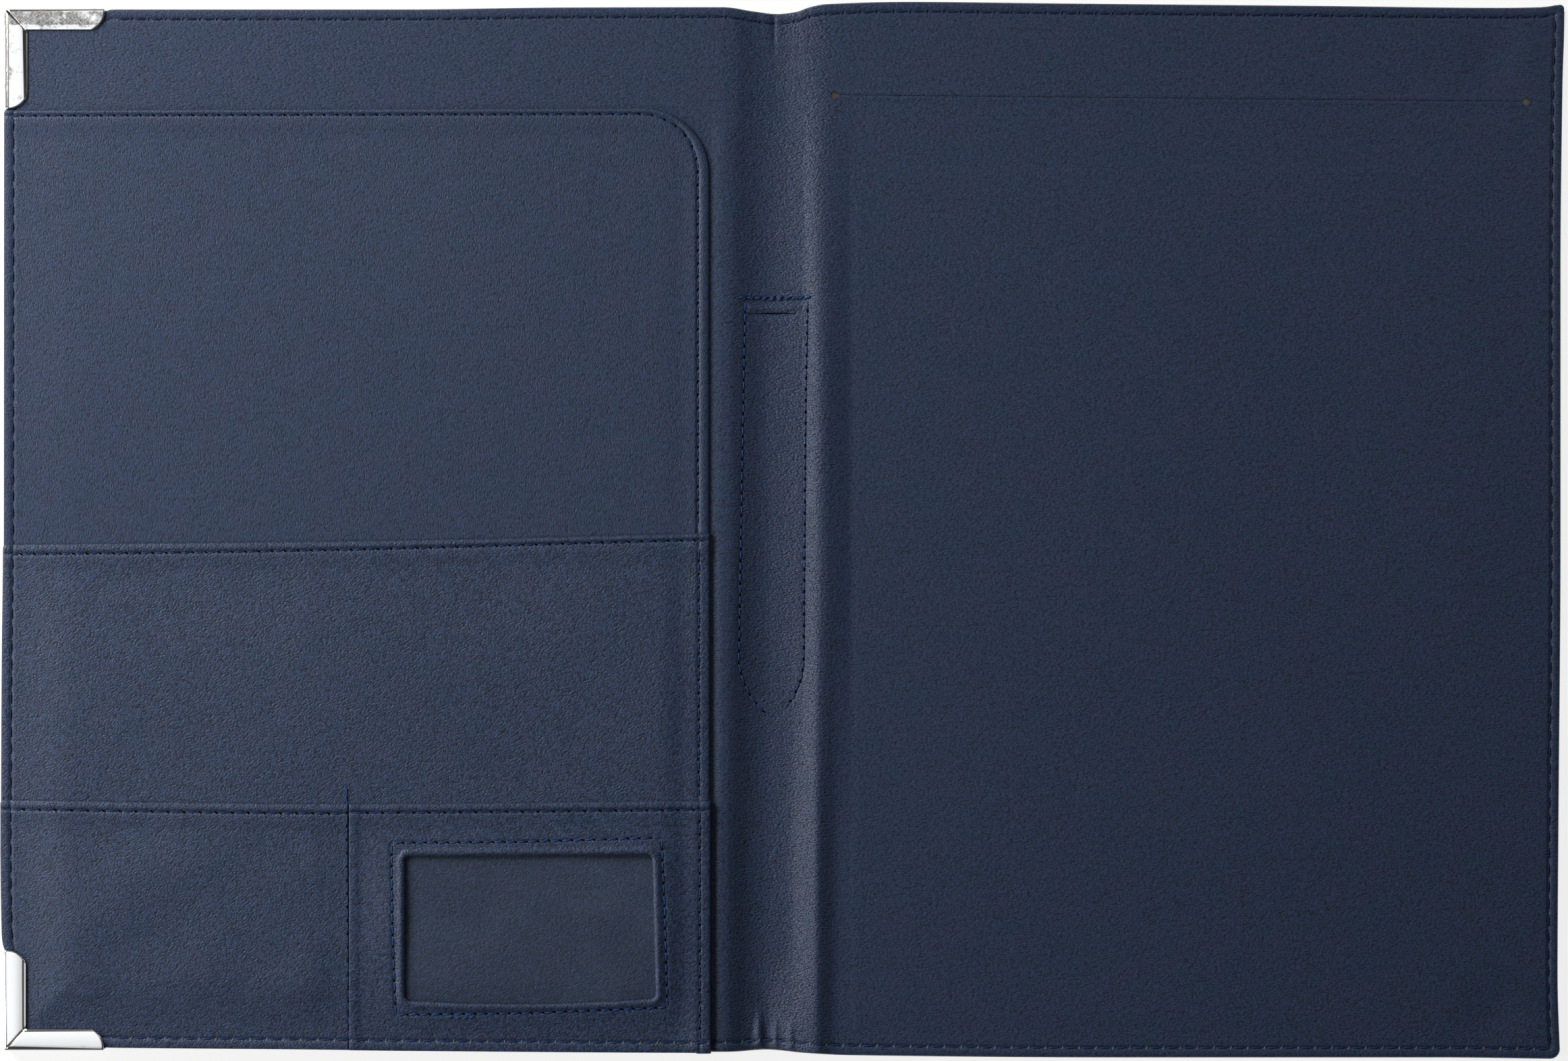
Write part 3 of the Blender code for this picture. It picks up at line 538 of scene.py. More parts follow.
def skin_profile(offset):
    """The skin's path from the flat underside up the edge and in again: outwards and height."""
    low, high = SKIN_BEND - offset, SKIN_RIM - offset
    path = [(out, offset) for out in (0.0, 0.2, 0.7, FLAT_INSET - SKIN_BEND)]
    for a in np.radians((15, 30, 45, 60, 75, 90)):
        path.append((FLAT_INSET - SKIN_BEND + low * math.sin(a), SKIN_BEND - low * math.cos(a)))
    for a in np.radians((0, 30, 60, 90)):
        path.append((FLAT_INSET - SKIN_RIM + high * math.cos(a), WALL_TOP - SKIN_RIM + high * math.sin(a)))
    return np.array(path + [(out, WALL_TOP - offset) for out in (1.2, 0.5, 0.0)])


def clip_press(x, y):
    """1 where a metal corner clip grips the front cover, 0 elsewhere."""
    from_left = x - FRONT_SIDE
    from_end = np.minimum(FRONT_ENDS[1] - y, y - FRONT_ENDS[0])
    near_left = (1 - step(from_left, 7.2, 8.8)) * (1 - step(from_end, 31, 33))
    near_end = (1 - step(from_end, 7.2, 8.8)) * (1 - step(from_left, 31, 33))
    return np.maximum(near_left, near_end)


def make_skin(name, x_edge, ends, side_edge, pressed):
    """One outer skin, with its three free edges turned up and in."""
    outward = 1 if x_edge > SPLIT_X else -1
    y0, y1 = ends
    profiles = skin_profile(0), skin_profile(SKIN)
    rings = len(profiles[0]) - 1
    flat = abs(x_edge - outward * FLAT_INSET - SPLIT_X)
    us = lines(0, flat, 2.0, (0, 12, 0.8), (flat - 2, 1e9, 0.5))
    vs = lines(y0 + FLAT_INSET, y1 - FLAT_INSET, 2.5, (y0, y0 + 5, 0.5), (y1 - 5, y1, 0.5))
    # Outside the flat part the grid goes on in rings, which follow the profile round the edge
    steps_u = np.concatenate([us, np.full(rings, us[-1])])
    ring_u = np.concatenate([np.zeros(len(us), int), np.arange(1, rings + 1)])
    steps_v = np.concatenate([np.full(rings, vs[0]), vs, np.full(rings, vs[-1])])
    ring_v = np.concatenate([np.arange(rings, 0, -1), np.zeros(len(vs), int), np.arange(1, rings + 1)])
    side_v = np.concatenate([-np.ones(rings), np.zeros(len(vs)), np.ones(rings)])
    across, upward = np.meshgrid(steps_u, steps_v, indexing="ij")
    ring_a, ring_b = np.meshgrid(ring_u, ring_v, indexing="ij")
    ring = np.maximum(ring_a, ring_b)
    angle = np.arctan2(ring_b, np.maximum(ring_a, 1e-9))
    faces = []
    for profile in profiles:
        reach, height = profile[ring, 0], profile[ring, 1]
        x = across + reach * np.where(ring_a > 0, np.cos(angle), 0)
        y = upward + reach * np.where(ring_b > 0, np.sin(angle), 0) * side_v
        edge_distance = np.minimum(abs(x_edge - SPLIT_X) - x, np.minimum(y - y0, y1 - y))
        real_x = SPLIT_X + outward * x
        low, high = bottom_edge(real_x), top_edge(real_x)
        y = low + (y - y0) * (high - low) / (y1 - y0)
        real_x = SPLIT_X + x * (side_edge(y) - SPLIT_X) / abs(x_edge - SPLIT_X)
        z = height * np.clip(spine_height(real_x, y) - 1.3, 0, WALL_TOP) / WALL_TOP
        # The seam draws the underside in, and a clip presses it and the lower bend up
        z = z + (ring <= 3) * 0.45 * bell(edge_distance - RIM_SEAM, 0.7)
        if pressed:
            z = z + (ring <= 9) * 0.95 * clip_press(real_x, y) * (1 - np.clip(z / 1.9, 0, 1))
        faces.append(np.stack([real_x, y, z], -1))
    return shell(name, *faces[::-outward])


# Pockets


def pocket_lines(low, high, *fine):
    """A pocket's grid lines, finer beside its edges."""
    low_side = ((low, low + 0.6, 0.12), (low + 0.6, low + 4.6, 0.33))
    high_side = ((high - 0.6, high, 0.12), (high - 4.6, high - 0.6, 0.33))
    return lines(low, high, 1.25, *low_side, *high_side, *fine)


def hem_share(distance):
    """1 over the hem that is turned under, 0 beyond it."""
    return 1 - step(distance, 4.0, 9.0)


def hem_relief(distance, seam, s, extra=0.25, pitch=HEM_PITCH):
    """A turned-under hem: double thickness, pressed down along its seam."""
    fold = extra * hem_share(distance) - 0.2 * (1 - half_round(distance, 1.8))
    groove = -(0.34 + 0.14 * pricks(s, pitch)) * bell(distance - seam, 0.45)
    return fold + groove + 0.16 * hump(distance, seam * 0.5, seam * 0.5)


def hem_side(distance, s):
    """A pocket's right-hand edge, sewn down in from the fold and rolled down towards it."""
    fold = 0.15 * hem_share(distance) - 0.45 * (1 - half_round(distance, 2.8))
    return fold - (0.17 + 0.15 * pricks(s, HEM_PITCH)) * bell(distance - SIDE_SEAM, 0.5)


def front_rim(x, y):
    """Distance to the sewn left and bottom edges of the front cover."""
    return np.minimum(x - left_edge(y), y - bottom_edge(x))


def sewn_pillow(x, y, right):
    """0 along the sewn edges and 1 in the open field."""
    return step(front_rim(x, y), 3.0, 22.0) * step(right - SIDE_SEAM - x, 0.0, 12.0)


def large_lower(x, y, s):
    """Underside of the large pocket. The rim's seam presses it onto the lining, and s runs along it."""
    rim = front_rim(x, y)
    lining = spine_height(x, y) + soft_waves(x, y, rim) + 0.8 * rim_relief(rim - LINING_SETBACK, s)
    return lining + 0.05 + 0.3 * sewn_pillow(x, y, LARGE_RIGHT)


def middle_lower(x, y):
    """Underside of the middle pocket, on the large one's plain upper face."""
    mouth = along(MIDDLE_TOP, x) - y
    gap = 0.22 + 0.4 * step(mouth, 4, 40) + 0.16 * waves(x, y, 11, 70) * step(mouth, 0, 30)
    large_top = large_lower(x, y, 0) + SHEET + 0.25 * hem_share(LARGE_RIGHT - x)
    return large_top + 0.06 + gap * sewn_pillow(x, y, MIDDLE_RIGHT)


def middle_top(x, y):
    return middle_lower(x, y) + SHEET + 0.15 * hem_share(MIDDLE_RIGHT - x)


def lower_lower(x, y):
    """Underside of the two lower pockets, which are sewn down between them."""
    mouth = along(LOWER_TOP, x) - y
    gap = 0.15 + 0.4 * step(mouth, 3, 25) + 0.14 * waves(x, y, 17, 45) * step(mouth, 0, 25)
    return middle_top(x, y) + 0.06 + gap * sewn_pillow(x, y, CARD_RIGHT) * step(np.abs(x - SEAM_X), 1.0, 14)


def fold_down(lower, side):
    """A pocket's underside, brought down to the lining at its right-hand fold."""
    return lower - (lower - FOLD_Z) * (1 - step(side, 0.2, 0.9))


def pocket_grid(us, vs, radii, left, bottom, mouth):
    """A pocket's grid, drawn onto the cover's outline at its left and bottom, and onto its mouth."""
    grid = Grid(us, vs, radii)
    outline = dict(left=inset(left_edge, left), bottom=inset(bottom_edge, bottom))
    return grid, *grid.place(top=partial(along, mouth), **outline)


def make_large_pocket():
    us, vs = pocket_lines(-235.3, LARGE_RIGHT), pocket_lines(-156.8, 127.9)
    grid, x, y = pocket_grid(us, vs, (CORNER, 0, LARGE_CORNER, 0), 0.2, 0.25, LARGE_TOP)
    # Under the middle pocket the edge keeps back from that pocket's fold
    x = x - step(-y, 2.5, 6) * step(x, LARGE_RIGHT - 8, LARGE_RIGHT)
    to_top, to_right = grid.distance("N"), grid.distance("E")
    seam = LARGE_SEAM + (SIDE_SEAM - LARGE_SEAM) * step(to_top - to_right, -6, 14)
    lower = large_lower(x, y, y)
    upper = lower + SHEET + hem_relief(grid.distance("NE"), seam, np.where(to_top < to_right, x, y))
    return sheet_between("pocket_large", x, y, upper, lower, half_round(grid.distance("WENS"), 0.5))


def middle_seam(x):
    """Distance of the middle pocket's seam from its mouth."""
    return 3.0 - step(x, -200, -40)


def make_middle_pocket():
    us, vs = pocket_lines(-235.5, MIDDLE_RIGHT), pocket_lines(-157.0, -2.5, (-6.8, -3.0, 0.33))
    grid, x, y = pocket_grid(us, vs, (CORNER, 0, 0, 1.2), 0.05, 0.15, MIDDLE_TOP)
    x = x - 0.9 * step(-y, 84, 88) * step(x, MIDDLE_RIGHT - 8, MIDDLE_RIGHT)
    side = grid.distance("E")
    lower = middle_lower(x, y)
    upper = lower + SHEET + hem_relief(grid.distance("N"), middle_seam(x), x, 0.28) + hem_side(side, y)
    fullness = half_round(grid.distance("WENS"), 0.55)
    return sheet_between("pocket_middle", x, y, upper, fold_down(lower, side), fullness)


def make_lower_left_pocket():
    us, vs = pocket_lines(-235.6, SEAM_X - 0.1), pocket_lines(-157.1, -82.2)
    grid, x, y = pocket_grid(us, vs, (CORNER, 0, 0, 1.2), -0.05, 0.08, LOWER_TOP)
    lower = lower_lower(x, y)
    upper = lower + SHEET + hem_relief(grid.distance("N"), LOWER_LEFT_SEAM, x, 0.3, LOWER_PITCH)
    return sheet_between("pocket_lower_left", x, y, upper, lower, half_round(grid.distance("WENS"), 0.5))


def window_distance(x, y):
    """Distance outwards from the card window's rounded edge, negative inside it."""
    x0, x1, y0, y1 = WINDOW
    p = np.abs(x - (x0 + x1) / 2) - ((x1 - x0) / 2 - WINDOW_CORNER)
    q = np.abs(y - (y0 + y1) / 2) - ((y1 - y0) / 2 - WINDOW_CORNER)
    outside = np.hypot(np.clip(p, 0, None), np.clip(q, 0, None))
    return outside + np.minimum(np.maximum(p, q), 0) - WINDOW_CORNER


def round_window_corners(u, v):
    """Bends the grid round the window's corners and fades out away from them."""
    x0, x1, y0, y1 = WINDOW
    corners = (x0, y0, -1, -1), (x1, y0, 1, -1), (x1, y1, 1, 1), (x0, y1, -1, 1)
    for corner_x, corner_y, out_x, out_y in corners:
        cx, cy = corner_x - out_x * WINDOW_CORNER, corner_y - out_y * WINDOW_CORNER
        p, q = (u - cx) * out_x, (v - cy) * out_y
        ring, angle = np.maximum(p, q), np.arctan2(q, p)
        near = (p > 0) & (q > 0) & (ring < 9)
        fade = 1 - step(ring, WINDOW_CORNER, 9)
        u = np.where(near, cx + out_x * (p + (ring * np.cos(angle) - p) * fade), u)
        v = np.where(near, cy + out_y * (q + (ring * np.sin(angle) - q) * fade), v)
    return u, v


def bow_window(x, y):
    """The window's edges aren't quite straight."""
    x0, x1, y0, y1 = WINDOW
    share = np.clip((x - x0) / (x1 - x0), 0, 1)
    height = np.clip((y1 - y) / (y1 - y0), 0, 1)
    sag = -1.3 * np.sin(np.pi * share) ** 0.8 + 0.9 * share
    y = y + sag * hump(y, y0, 9) * band(x, x0 - 6, x0 + 2, x1 - 1, x1 + 7)
    lean = -0.5 + 1.1 * height
    return x + lean * hump(x, x1, 8) * band(y, y0 - 7, y0, y1, y1 + 7), y


def window_fine(low, high):
    """Finer grid lines over the window's rolled edge."""
    return (
        (low - 5.4, low - 1.2, 0.4), (low - 1.2, low, 0.12), (low, low + WINDOW_CORNER, 0.2),
        (high - WINDOW_CORNER, high, 0.2), (high, high + 1.2, 0.12), (high + 1.2, high + 5.4, 0.4),
    )


def make_card_pocket():
    x0, x1, y0, y1 = WINDOW
    us = pocket_lines(SEAM_X, CARD_RIGHT, *window_fine(x0, x1))
    vs = pocket_lines(-157.3, -82.1, *window_fine(y0, y1))
    grid = Grid(us, vs)
    mx, my = cell_middles(grid.u), cell_middles(grid.v)
    keep = ~((mx > x0) & (mx < x1) & (my > y0) & (my < y1))
    grid.u, grid.v = round_window_corners(grid.u, grid.v)
    window = window_distance(grid.u, grid.v)
    x, y = grid.place(
        bottom=lambda at: bottom_edge(at) + np.where(at > -26, -0.2, 0.02), top=partial(along, LOWER_TOP)
    )
    shift_y = np.interp((y0, y1), grid.vs, y[len(us) // 2])
    y = y + np.interp(grid.v, (-157, y0, y1, -82), (0, y0 - shift_y[0], y1 - shift_y[1], 0))
    x, y = bow_window(x, y)
    side = grid.distance("E")
    lower = lower_lower(x, y) + 0.2 * (1 - step(window, 3, 12))
    hems = hem_relief(grid.distance("N"), CARD_SEAM, x, 0.3, LOWER_PITCH) + hem_side(side, y)
    hems = hems + 0.25 * (1 - step(grid.distance("W"), 1.5, 4.0))
    frame_edge = 0.42 * hump(window, 1.2, 1.7) - 0.22 * bell(path_distance(x, y, WINDOW_SEAM), 0.45)
    upper = lower + SHEET + hems + frame_edge
    edge = np.minimum(grid.distance("WENS") / 0.55, np.clip(window, 0, None) / 0.75)
    return sheet_between("pocket_card", x, y, upper, fold_down(lower, side), half_round(edge, 1), keep)


def make_film():
    x0, x1, y0, y1 = WINDOW
    grid = Grid(lines(x0 - 3.4, x1 + 3.4, 1.5), lines(y0 - 3.4, y1 + 3.4, 1.5), (2, 2, 2, 2))
    x, y = grid.u, grid.v
    lower = middle_top(x, y) + 0.12 + 0.05 * waves(x, y, 23, 38)
    return sheet_between("film", x, y, lower + 0.2, lower, half_round(grid.distance("WENS"), 0.1))


# Metal corner clips


def clip_profile(share, height, width, crease, plate, drop, lip):
    """A leg's outer surface from under the cover round its edge to the lip: across and height."""
    fold = crease[0] + (crease[1] - crease[0]) * share
    reach = plate[0] + (plate[1] - plate[0]) * share
    low = height - CLIP_WALL_ROUND
    path = [(width - 0.3, 0.0), (width * 0.5, 0.0), (1.2, 0.0)]
    path += [(0.8 - 0.8 * math.sin(a), 0.8 - 0.8 * math.cos(a)) for a in np.radians((20, 45, 70, 90))]
    path += [(0.0, low * 0.5), (0.0, low - 0.4)]
    for a in np.radians((0, 15, 30, 45, 60, 75, 90)):
        path.append((reach * (1 - math.cos(a)), low + (CLIP_WALL_ROUND - 0.05) * math.sin(a)))
    for part in (0.15, 0.4, 0.6, 0.75, 0.87, 0.95, 1.0):
        path.append((reach + (fold - reach) * part, height - 0.05 * (2 * part - 1) ** 2))
    for part, fall in lip:
        path.append((fold + (width - fold) * part, height - 0.05 - (drop - 0.05) * fall))
    return path


def clip_leg(height, gap, width, **shape):
    """One leg's outer and inner surfaces, as (along, across, height) from the clip's outer corner."""
    outer = []
    for share in CLIP_SHARES:
        row = []
        for across, up in clip_profile(share, height, width, **shape):
            above = up > height * 0.5
            start = across + (gap * max(0.0, 1 - across / 4.2) if above else 0.0) + 0.03
            end = CLIP_LEG - 3.6 * (across / width) ** 3
            place = start + (end - start) * share
            edge = 0.22 * (1 - float(half_round(min(place - start, end - place), 0.45))) if above else 0.0
            row.append((place, across, up - edge))
        outer.append(row)
    outer = np.array(outer)
    inner = outer.copy()
    inner[..., 1] = np.maximum(outer[..., 1], CLIP_METAL)
    inner[..., 2] = np.clip(outer[..., 2], CLIP_METAL, height - CLIP_METAL)
    return outer, inner


def make_clip(name, corner_y, side, height, gap, leg_x, leg_y):
    """A pressed corner: two channels over the cover's edges that meet in a mitre."""
    legs = []
    for label, shape in (("x", leg_x), ("y", leg_y)):
        surfaces = []
        for points in clip_leg(height, gap, **shape):
            place, across, up = np.moveaxis(points, -1, 0)
            over, down = (place, across) if label == "x" else (across, place)
            surfaces.append(np.stack([CLIP_X + over, corner_y - side * down, up], -1))
        legs.append(shell(f"{name}_{label}", *surfaces))
    first, second = legs
    bm = bmesh.new()
    for leg in legs:
        bm.from_mesh(leg.data)
    bm.to_mesh(first.data)
    bm.free()
    bpy.data.meshes.remove(second.data)
    first.name = name
    first.data.set_sharp_from_angle(angle=math.radians(40))
    return first


# Threads


def surface_of(*objects):
    return [BVHTree.FromObject(o, bpy.context.evaluated_depsgraph_get()) for o in objects]


def height_on(trees, x, y, from_below=False):
    """Height of the outermost of several surfaces at a point, in millimetres."""
    start = Vector((x * MM, y * MM, -0.02 if from_below else 0.04))
    hits = [tree.ray_cast(start, Vector((0, 0, 1 if from_below else -1)))[0] for tree in trees]
    heights = [h.z / MM for h in hits if h is not None]
    if not heights:
        return None
    return min(heights) if from_below else max(heights)


def stitch_places(path, pitch):
    """A path's point at each distance along it, as a function, and the distances of its needle holes."""
    points = np.array(path, float)
    reach = np.concatenate([[0], np.cumsum(np.hypot(*np.diff(points, axis=0).T))])
    count = max(1, round(reach[-1] / pitch))

    def point_at(distance):
        return np.interp(distance, reach, points[:, 0]), np.interp(distance, reach, points[:, 1])

    return point_at, np.linspace(0, reach[-1], count + 1)


def needle_holes(name, paths, trees, pitch, length, width, tilt, material=None, rise=0.04):
    """Slanted slits where the thread goes in, one at each end of a stitch: flat marks of painted shade, or
    lips drawn up and painted with a highlight.
    """
    vertices, faces = [], []
    turns = np.linspace(0, 2 * np.pi, 8, endpoint=False)
    for path in paths:
        point_at, ends = stitch_places(path, pitch)
        for place in ends[1:-1]:
            (x, y), (ahead_x, ahead_y) = point_at(place), point_at(place + 0.5)
            heading = math.atan2(ahead_y - y, ahead_x - x) + tilt
            ground = height_on(trees, x, y)
            if ground is None:
                continue
            base = 10 * len(vertices)
            ring = np.zeros((10, 3))
            along_slit, across = np.cos(turns) * length / 2, np.sin(turns) * width / 2
            ring[:8, 0] = x + along_slit * math.cos(heading) - across * math.sin(heading)
            ring[:8, 1] = y + along_slit * math.sin(heading) + across * math.cos(heading)
            level = [height_on(trees, a, b) for a, b in ring[:8, :2]]
            ring[:8, 2] = [0.015 + (ground if value is None else value) for value in level]
            ring[8], ring[9] = (x, y, ground + rise), (x, y, ground - 0.2)
            vertices.append(ring)
            for i in range(8):
                first, second = base + i, base + (i + 1) % 8
                faces += [[first, second, base + 8], [second, first, base + 9]]
    obj = new_object(name, np.concatenate(vertices), faces, 80)
    obj.data.materials.append(material or hole_shade)
    return obj


def stitches(
    name, paths, trees, material, pitch, radius=0.2, gap=0.4, slant=0.1, from_below=False, seed=1, lift=0.12
):
    """Sewn threads: each stitch is a short tube that rises from one needle hole and dives into the next."""
    rng = np.random.RandomState(seed)
    rings, sides = 7, 6
    t = np.linspace(0, 1, rings)
    arch = np.sin(np.pi * t) ** 0.5
    angles = np.linspace(0, 2 * np.pi, sides, endpoint=False)
    vertices, faces = [], []
    sign = -1 if from_below else 1
    for path in paths:
        point_at, ends = stitch_places(path, pitch)
        for start, end in zip(ends, ends[1:]):
            x, y = point_at(start + gap / 2 + (end - start - gap) * t)
            heading = math.atan2(y[-1] - y[0], x[-1] - x[0])
            side_x, side_y = -math.sin(heading), math.cos(heading)
            lean = slant * (t - 0.5) * 2 + rng.uniform(-0.05, 0.05)
            x, y = x + side_x * lean, y + side_y * lean
            ground = [height_on(trees, a, b, from_below) for a, b in zip(x, y)]
            if None in ground:
                continue
            level = np.interp(t, (0, 0.5, 1), (ground[1], np.median(ground), ground[-2]))
            z = level + sign * (radius * 0.5 + lift * arch - (1 - arch) * radius * 2.6)
            thick = (radius * (0.72 + 0.28 * arch) * rng.uniform(0.92, 1.08))[:, None]
            tube = np.zeros((rings, sides, 3))
            tube[..., 0] = x[:, None] + side_x * np.cos(angles) * thick
            tube[..., 1] = y[:, None] + side_y * np.cos(angles) * thick
            tube[..., 2] = z[:, None] + np.sin(angles) * thick * 0.85
            index = np.arange(rings * sides).reshape(rings, sides) + rings * sides * len(vertices)
            vertices.append(tube.reshape(-1, 3))
            turned = np.roll(index, -1, 1)
            walls = np.stack([index[:-1], turned[:-1], turned[1:], index[1:]], -1)
            faces += walls.reshape(-1, 4).tolist() + [index[0, ::-1].tolist(), index[-1].tolist()]
    obj = new_object(name, np.concatenate(vertices), faces, 80)
    obj.data.materials.append(material)
    return obj


def edge_path(low, high, function, axis="x", spacing=2.0):
    at = np.linspace(low, high, max(2, round(abs(high - low) / spacing)))
    return [(a, float(function(a))) if axis == "x" else (float(function(a)), a) for a in at]


def rim_seams(ends, sides, side_edge, inward, by, side_by):
    """Paths along a cover's top, side and bottom, in from the outline by so much."""
    top = edge_path(*ends, inset(top_edge, -by))
    side = edge_path(*sides, inset(side_edge, inward * side_by), "y")
    return top, side, edge_path(*ends, inset(bottom_edge, by))


def large_hem_path():
    """Along the large pocket's top, round its corner and down its right-hand edge."""
    cx, cy = LARGE_RIGHT - LARGE_CORNER, 128.1 - LARGE_CORNER
    path = edge_path(-234.5, cx, lambda x: along(LARGE_TOP, x) - LARGE_SEAM)
    for a, seam in zip(np.radians(np.linspace(88, 2, 12)), np.linspace(LARGE_SEAM, SIDE_SEAM, 12)):
        path.append((cx + (LARGE_CORNER - seam) * math.cos(a), cy + (LARGE_CORNER - seam) * math.sin(a)))
    return path + [(LARGE_RIGHT - SIDE_SEAM, 100.0), (LARGE_RIGHT - SIDE_SEAM, 1.5)]


# Materials

NAVY_TEAL = (0.0135, 0.0285, 0.064)
NAVY_PLUM = (0.0175, 0.0275, 0.065)
# Where the grain gets deeper across the spine, and the strip of the top clip that is worn, in metres
SPINE_FROM = (-0.018, -0.013)
SPINE_TO = (0.013, 0.019)
WORN_FROM = (0.1531, 0.1537)
WORN_TO = (0.1571, 0.1577)


class Nodes:
    """Short calls for building a node tree."""

    def __init__(self, owner, coordinates):
        owner.use_nodes = True
        self.tree = owner.node_tree
        self.place = self.add("ShaderNodeTexCoord").outputs[coordinates]

    def fill(self, node, inputs):
        """Gives a node's inputs, by name or number, a link or a value."""
        for name, value in inputs.items():
            if isinstance(value, bpy.types.NodeSocket):
                self.tree.links.new(value, node.inputs[name])
            else:
                node.inputs[name].default_value = value

    def add(self, kind, inputs=None, **settings):
        node = self.tree.nodes.new(kind)
        for name, value in settings.items():
            setattr(node, name, value)
        self.fill(node, inputs or {})
        return node

    def math(self, operation, a, b):
        return self.add("ShaderNodeMath", {0: a, 1: b}, operation=operation).outputs[0]

    def axes(self):
        return self.add("ShaderNodeSeparateXYZ", {0: self.place}).outputs

    def turned(self, degrees, stretch, source=None):
        """Coordinates in which a pattern is drawn out along a direction, by stretch."""
        inputs = {"Vector": source or self.place, "Rotation": (0, 0, math.radians(degrees))}
        inputs["Scale"] = (stretch, 1, 1)
        return self.add("ShaderNodeMapping", inputs, vector_type="TEXTURE").outputs[0]

    def noise(self, scale, detail=2.0, roughness=0.5, source=None, output="Fac"):
        inputs = {"Vector": source or self.place, "Scale": scale, "Detail": detail, "Roughness": roughness}
        return self.add("ShaderNodeTexNoise", inputs).outputs[output]

    def span(self, value, low, high, to_low, to_high):
        inputs = {"Value": value, "From Min": low, "From Max": high, "To Min": to_low, "To Max": to_high}
        return self.add("ShaderNodeMapRange", inputs).outputs[0]

    def mix(self, share, first, second, blend="MIX"):
        inputs = {0: share}
        for index, value in ((6, first), (7, second)):
            inputs[index] = value if isinstance(value, bpy.types.NodeSocket) else (*value, 1)
        return self.add("ShaderNodeMix", inputs, data_type="RGBA", blend_type=blend).outputs[2]

    def bump(self, height, strength, distance):
        inputs = {"Height": height, "Strength": strength, "Distance": distance}
        return self.add("ShaderNodeBump", inputs).outputs["Normal"]

    def backdrop(self, share, first, second, output):
        """Shows the second shader instead of the first to a share of the rays."""
        mix = self.add("ShaderNodeMixShader", {0: share, 1: first.outputs[0], 2: second.outputs[0]})
        self.fill(self.tree.nodes[output], {"Surface": mix.outputs[0]})


def material(name, roughness, inputs, metallic=0.0):
    """A Principled BSDF whose further inputs come from a function of its node tree."""
    made = bpy.data.materials.new(name)
    n = Nodes(made, "Object")
    shader = n.tree.nodes["Principled BSDF"]
    n.fill(shader, {"Roughness": roughness, "Metallic": metallic})
    n.fill(shader, inputs(n))
    return made


def leather(name, turn, stretch=2.0, grain=1900, depth=0.0001, mottle=0.2):
    """Pebbled imitation leather: small cells drawn out along one direction, deeper across the spine."""

    def inputs(n):
        offset = {0: n.noise(90, output="Color"), 1: (0.002,) * 3, 2: n.place}
        bent = n.add("ShaderNodeVectorMath", offset, operation="MULTIPLY_ADD").outputs[0]
        direction = n.turned(turn, stretch, bent)
        cells = {"Vector": direction, "Scale": grain}
        pebbles = n.add("ShaderNodeTexVoronoi", cells, feature="F1").outputs["Distance"]
        fine = n.noise(grain * 1.2, 1, 0.5, direction)
        height = n.math("SUBTRACT", n.math("MULTIPLY", fine, 0.6), n.math("MULTIPLY", pebbles, pebbles))
        clumps = n.span(n.noise(800, 2, 0.6), 0.3, 0.7, 1 - mottle, 1 + mottle)
        # Painted shade and light: the colour darkens in the hollows between the pebbles and lightens on
        # their tops, times clumps of the leather's own uneven tone
        shade = n.math("MULTIPLY", n.span(height, -0.3, 0.25, 0.5, 1.08), clumps)
        colour = n.mix(n.span(n.noise(110, 3, 0.65), 0.35, 0.65, 0, 1), NAVY_TEAL, NAVY_PLUM)
        x = n.axes()["X"]
        spine = n.math("MULTIPLY", n.span(x, *SPINE_FROM, 0, 1), n.span(x, *SPINE_TO, 1, 0))
        return {
            "Base Color": n.mix(1, colour, shade, "MULTIPLY"),
            "Roughness": n.span(pebbles, 0.2, 0.7, 0.40, 0.52),
            "Specular IOR Level": 0.3,
            "Normal": n.bump(height, 1.0, n.span(spine, 0, 1, depth, 1.8 * depth)),
        }

    return material(name, 0.44, inputs)


def thread_material(name, dark, light):
    def inputs(n):
        waved = {"Vector": n.place, "Scale": 900, "Distortion": 1.5}
        twist = n.add("ShaderNodeTexWave", waved, wave_type="BANDS", bands_direction="DIAGONAL")
        return {
            "Base Color": n.mix(n.noise(260, 2), dark, light),
            "Specular IOR Level": 0.15,
            "Normal": n.bump(twist.outputs["Fac"], 0.5, 0.00006),
        }

    return material(name, 0.5, inputs)


def nickel(name, wear):
    """Plated metal. wear is how much of it is dulled by fine scratches, from 0 to 1."""

    def inputs(n):
        scratch_a = n.span(n.noise(3600, 2, 0.7, n.turned(-44, 4)), 0.4, 0.7, 0.35, 1)
        scratch_b = n.span(n.noise(3000, 2, 0.7, n.turned(38, 3)), 0.45, 0.7, 0.35, 1)
        # The top clip's long plate is the most worn, and not its lip or its round edge
        y = n.axes()["Y"]
        plate = n.math("MULTIPLY", n.span(y, *WORN_FROM, 0, 1), n.span(y, *WORN_TO, 1, 0))
        patches = n.math("ADD", n.noise(330, 3, 0.7), n.math("MULTIPLY", plate, 0.24))
        cloud = n.span(patches, 0.68 - 0.12 * wear, 0.84 - 0.1 * wear, 0, 1)
        worn = n.math("MULTIPLY", n.math("MAXIMUM", scratch_a, scratch_b), cloud)
        return {
            "Base Color": n.mix(worn, (0.88, 0.865, 0.845), (0.05, 0.048, 0.046)),
            "Roughness": n.span(worn, 0, 1, 0.13, 0.4),
            "Normal": n.bump(worn, 0.25, 0.00002),
        }

    return material(name, 0.16, inputs, 1.0)


def film_material():
    def inputs(n):
        smudge = n.span(n.noise(55, 1, 0.5), 0.45, 0.65, 0, 1)
        colour = n.mix(smudge, (0.045, 0.06, 0.09), (0.065, 0.09, 0.13))
        return {"Base Color": colour, "Alpha": 0.1, "IOR": 1.25}

    return material("film", 0.12, inputs)


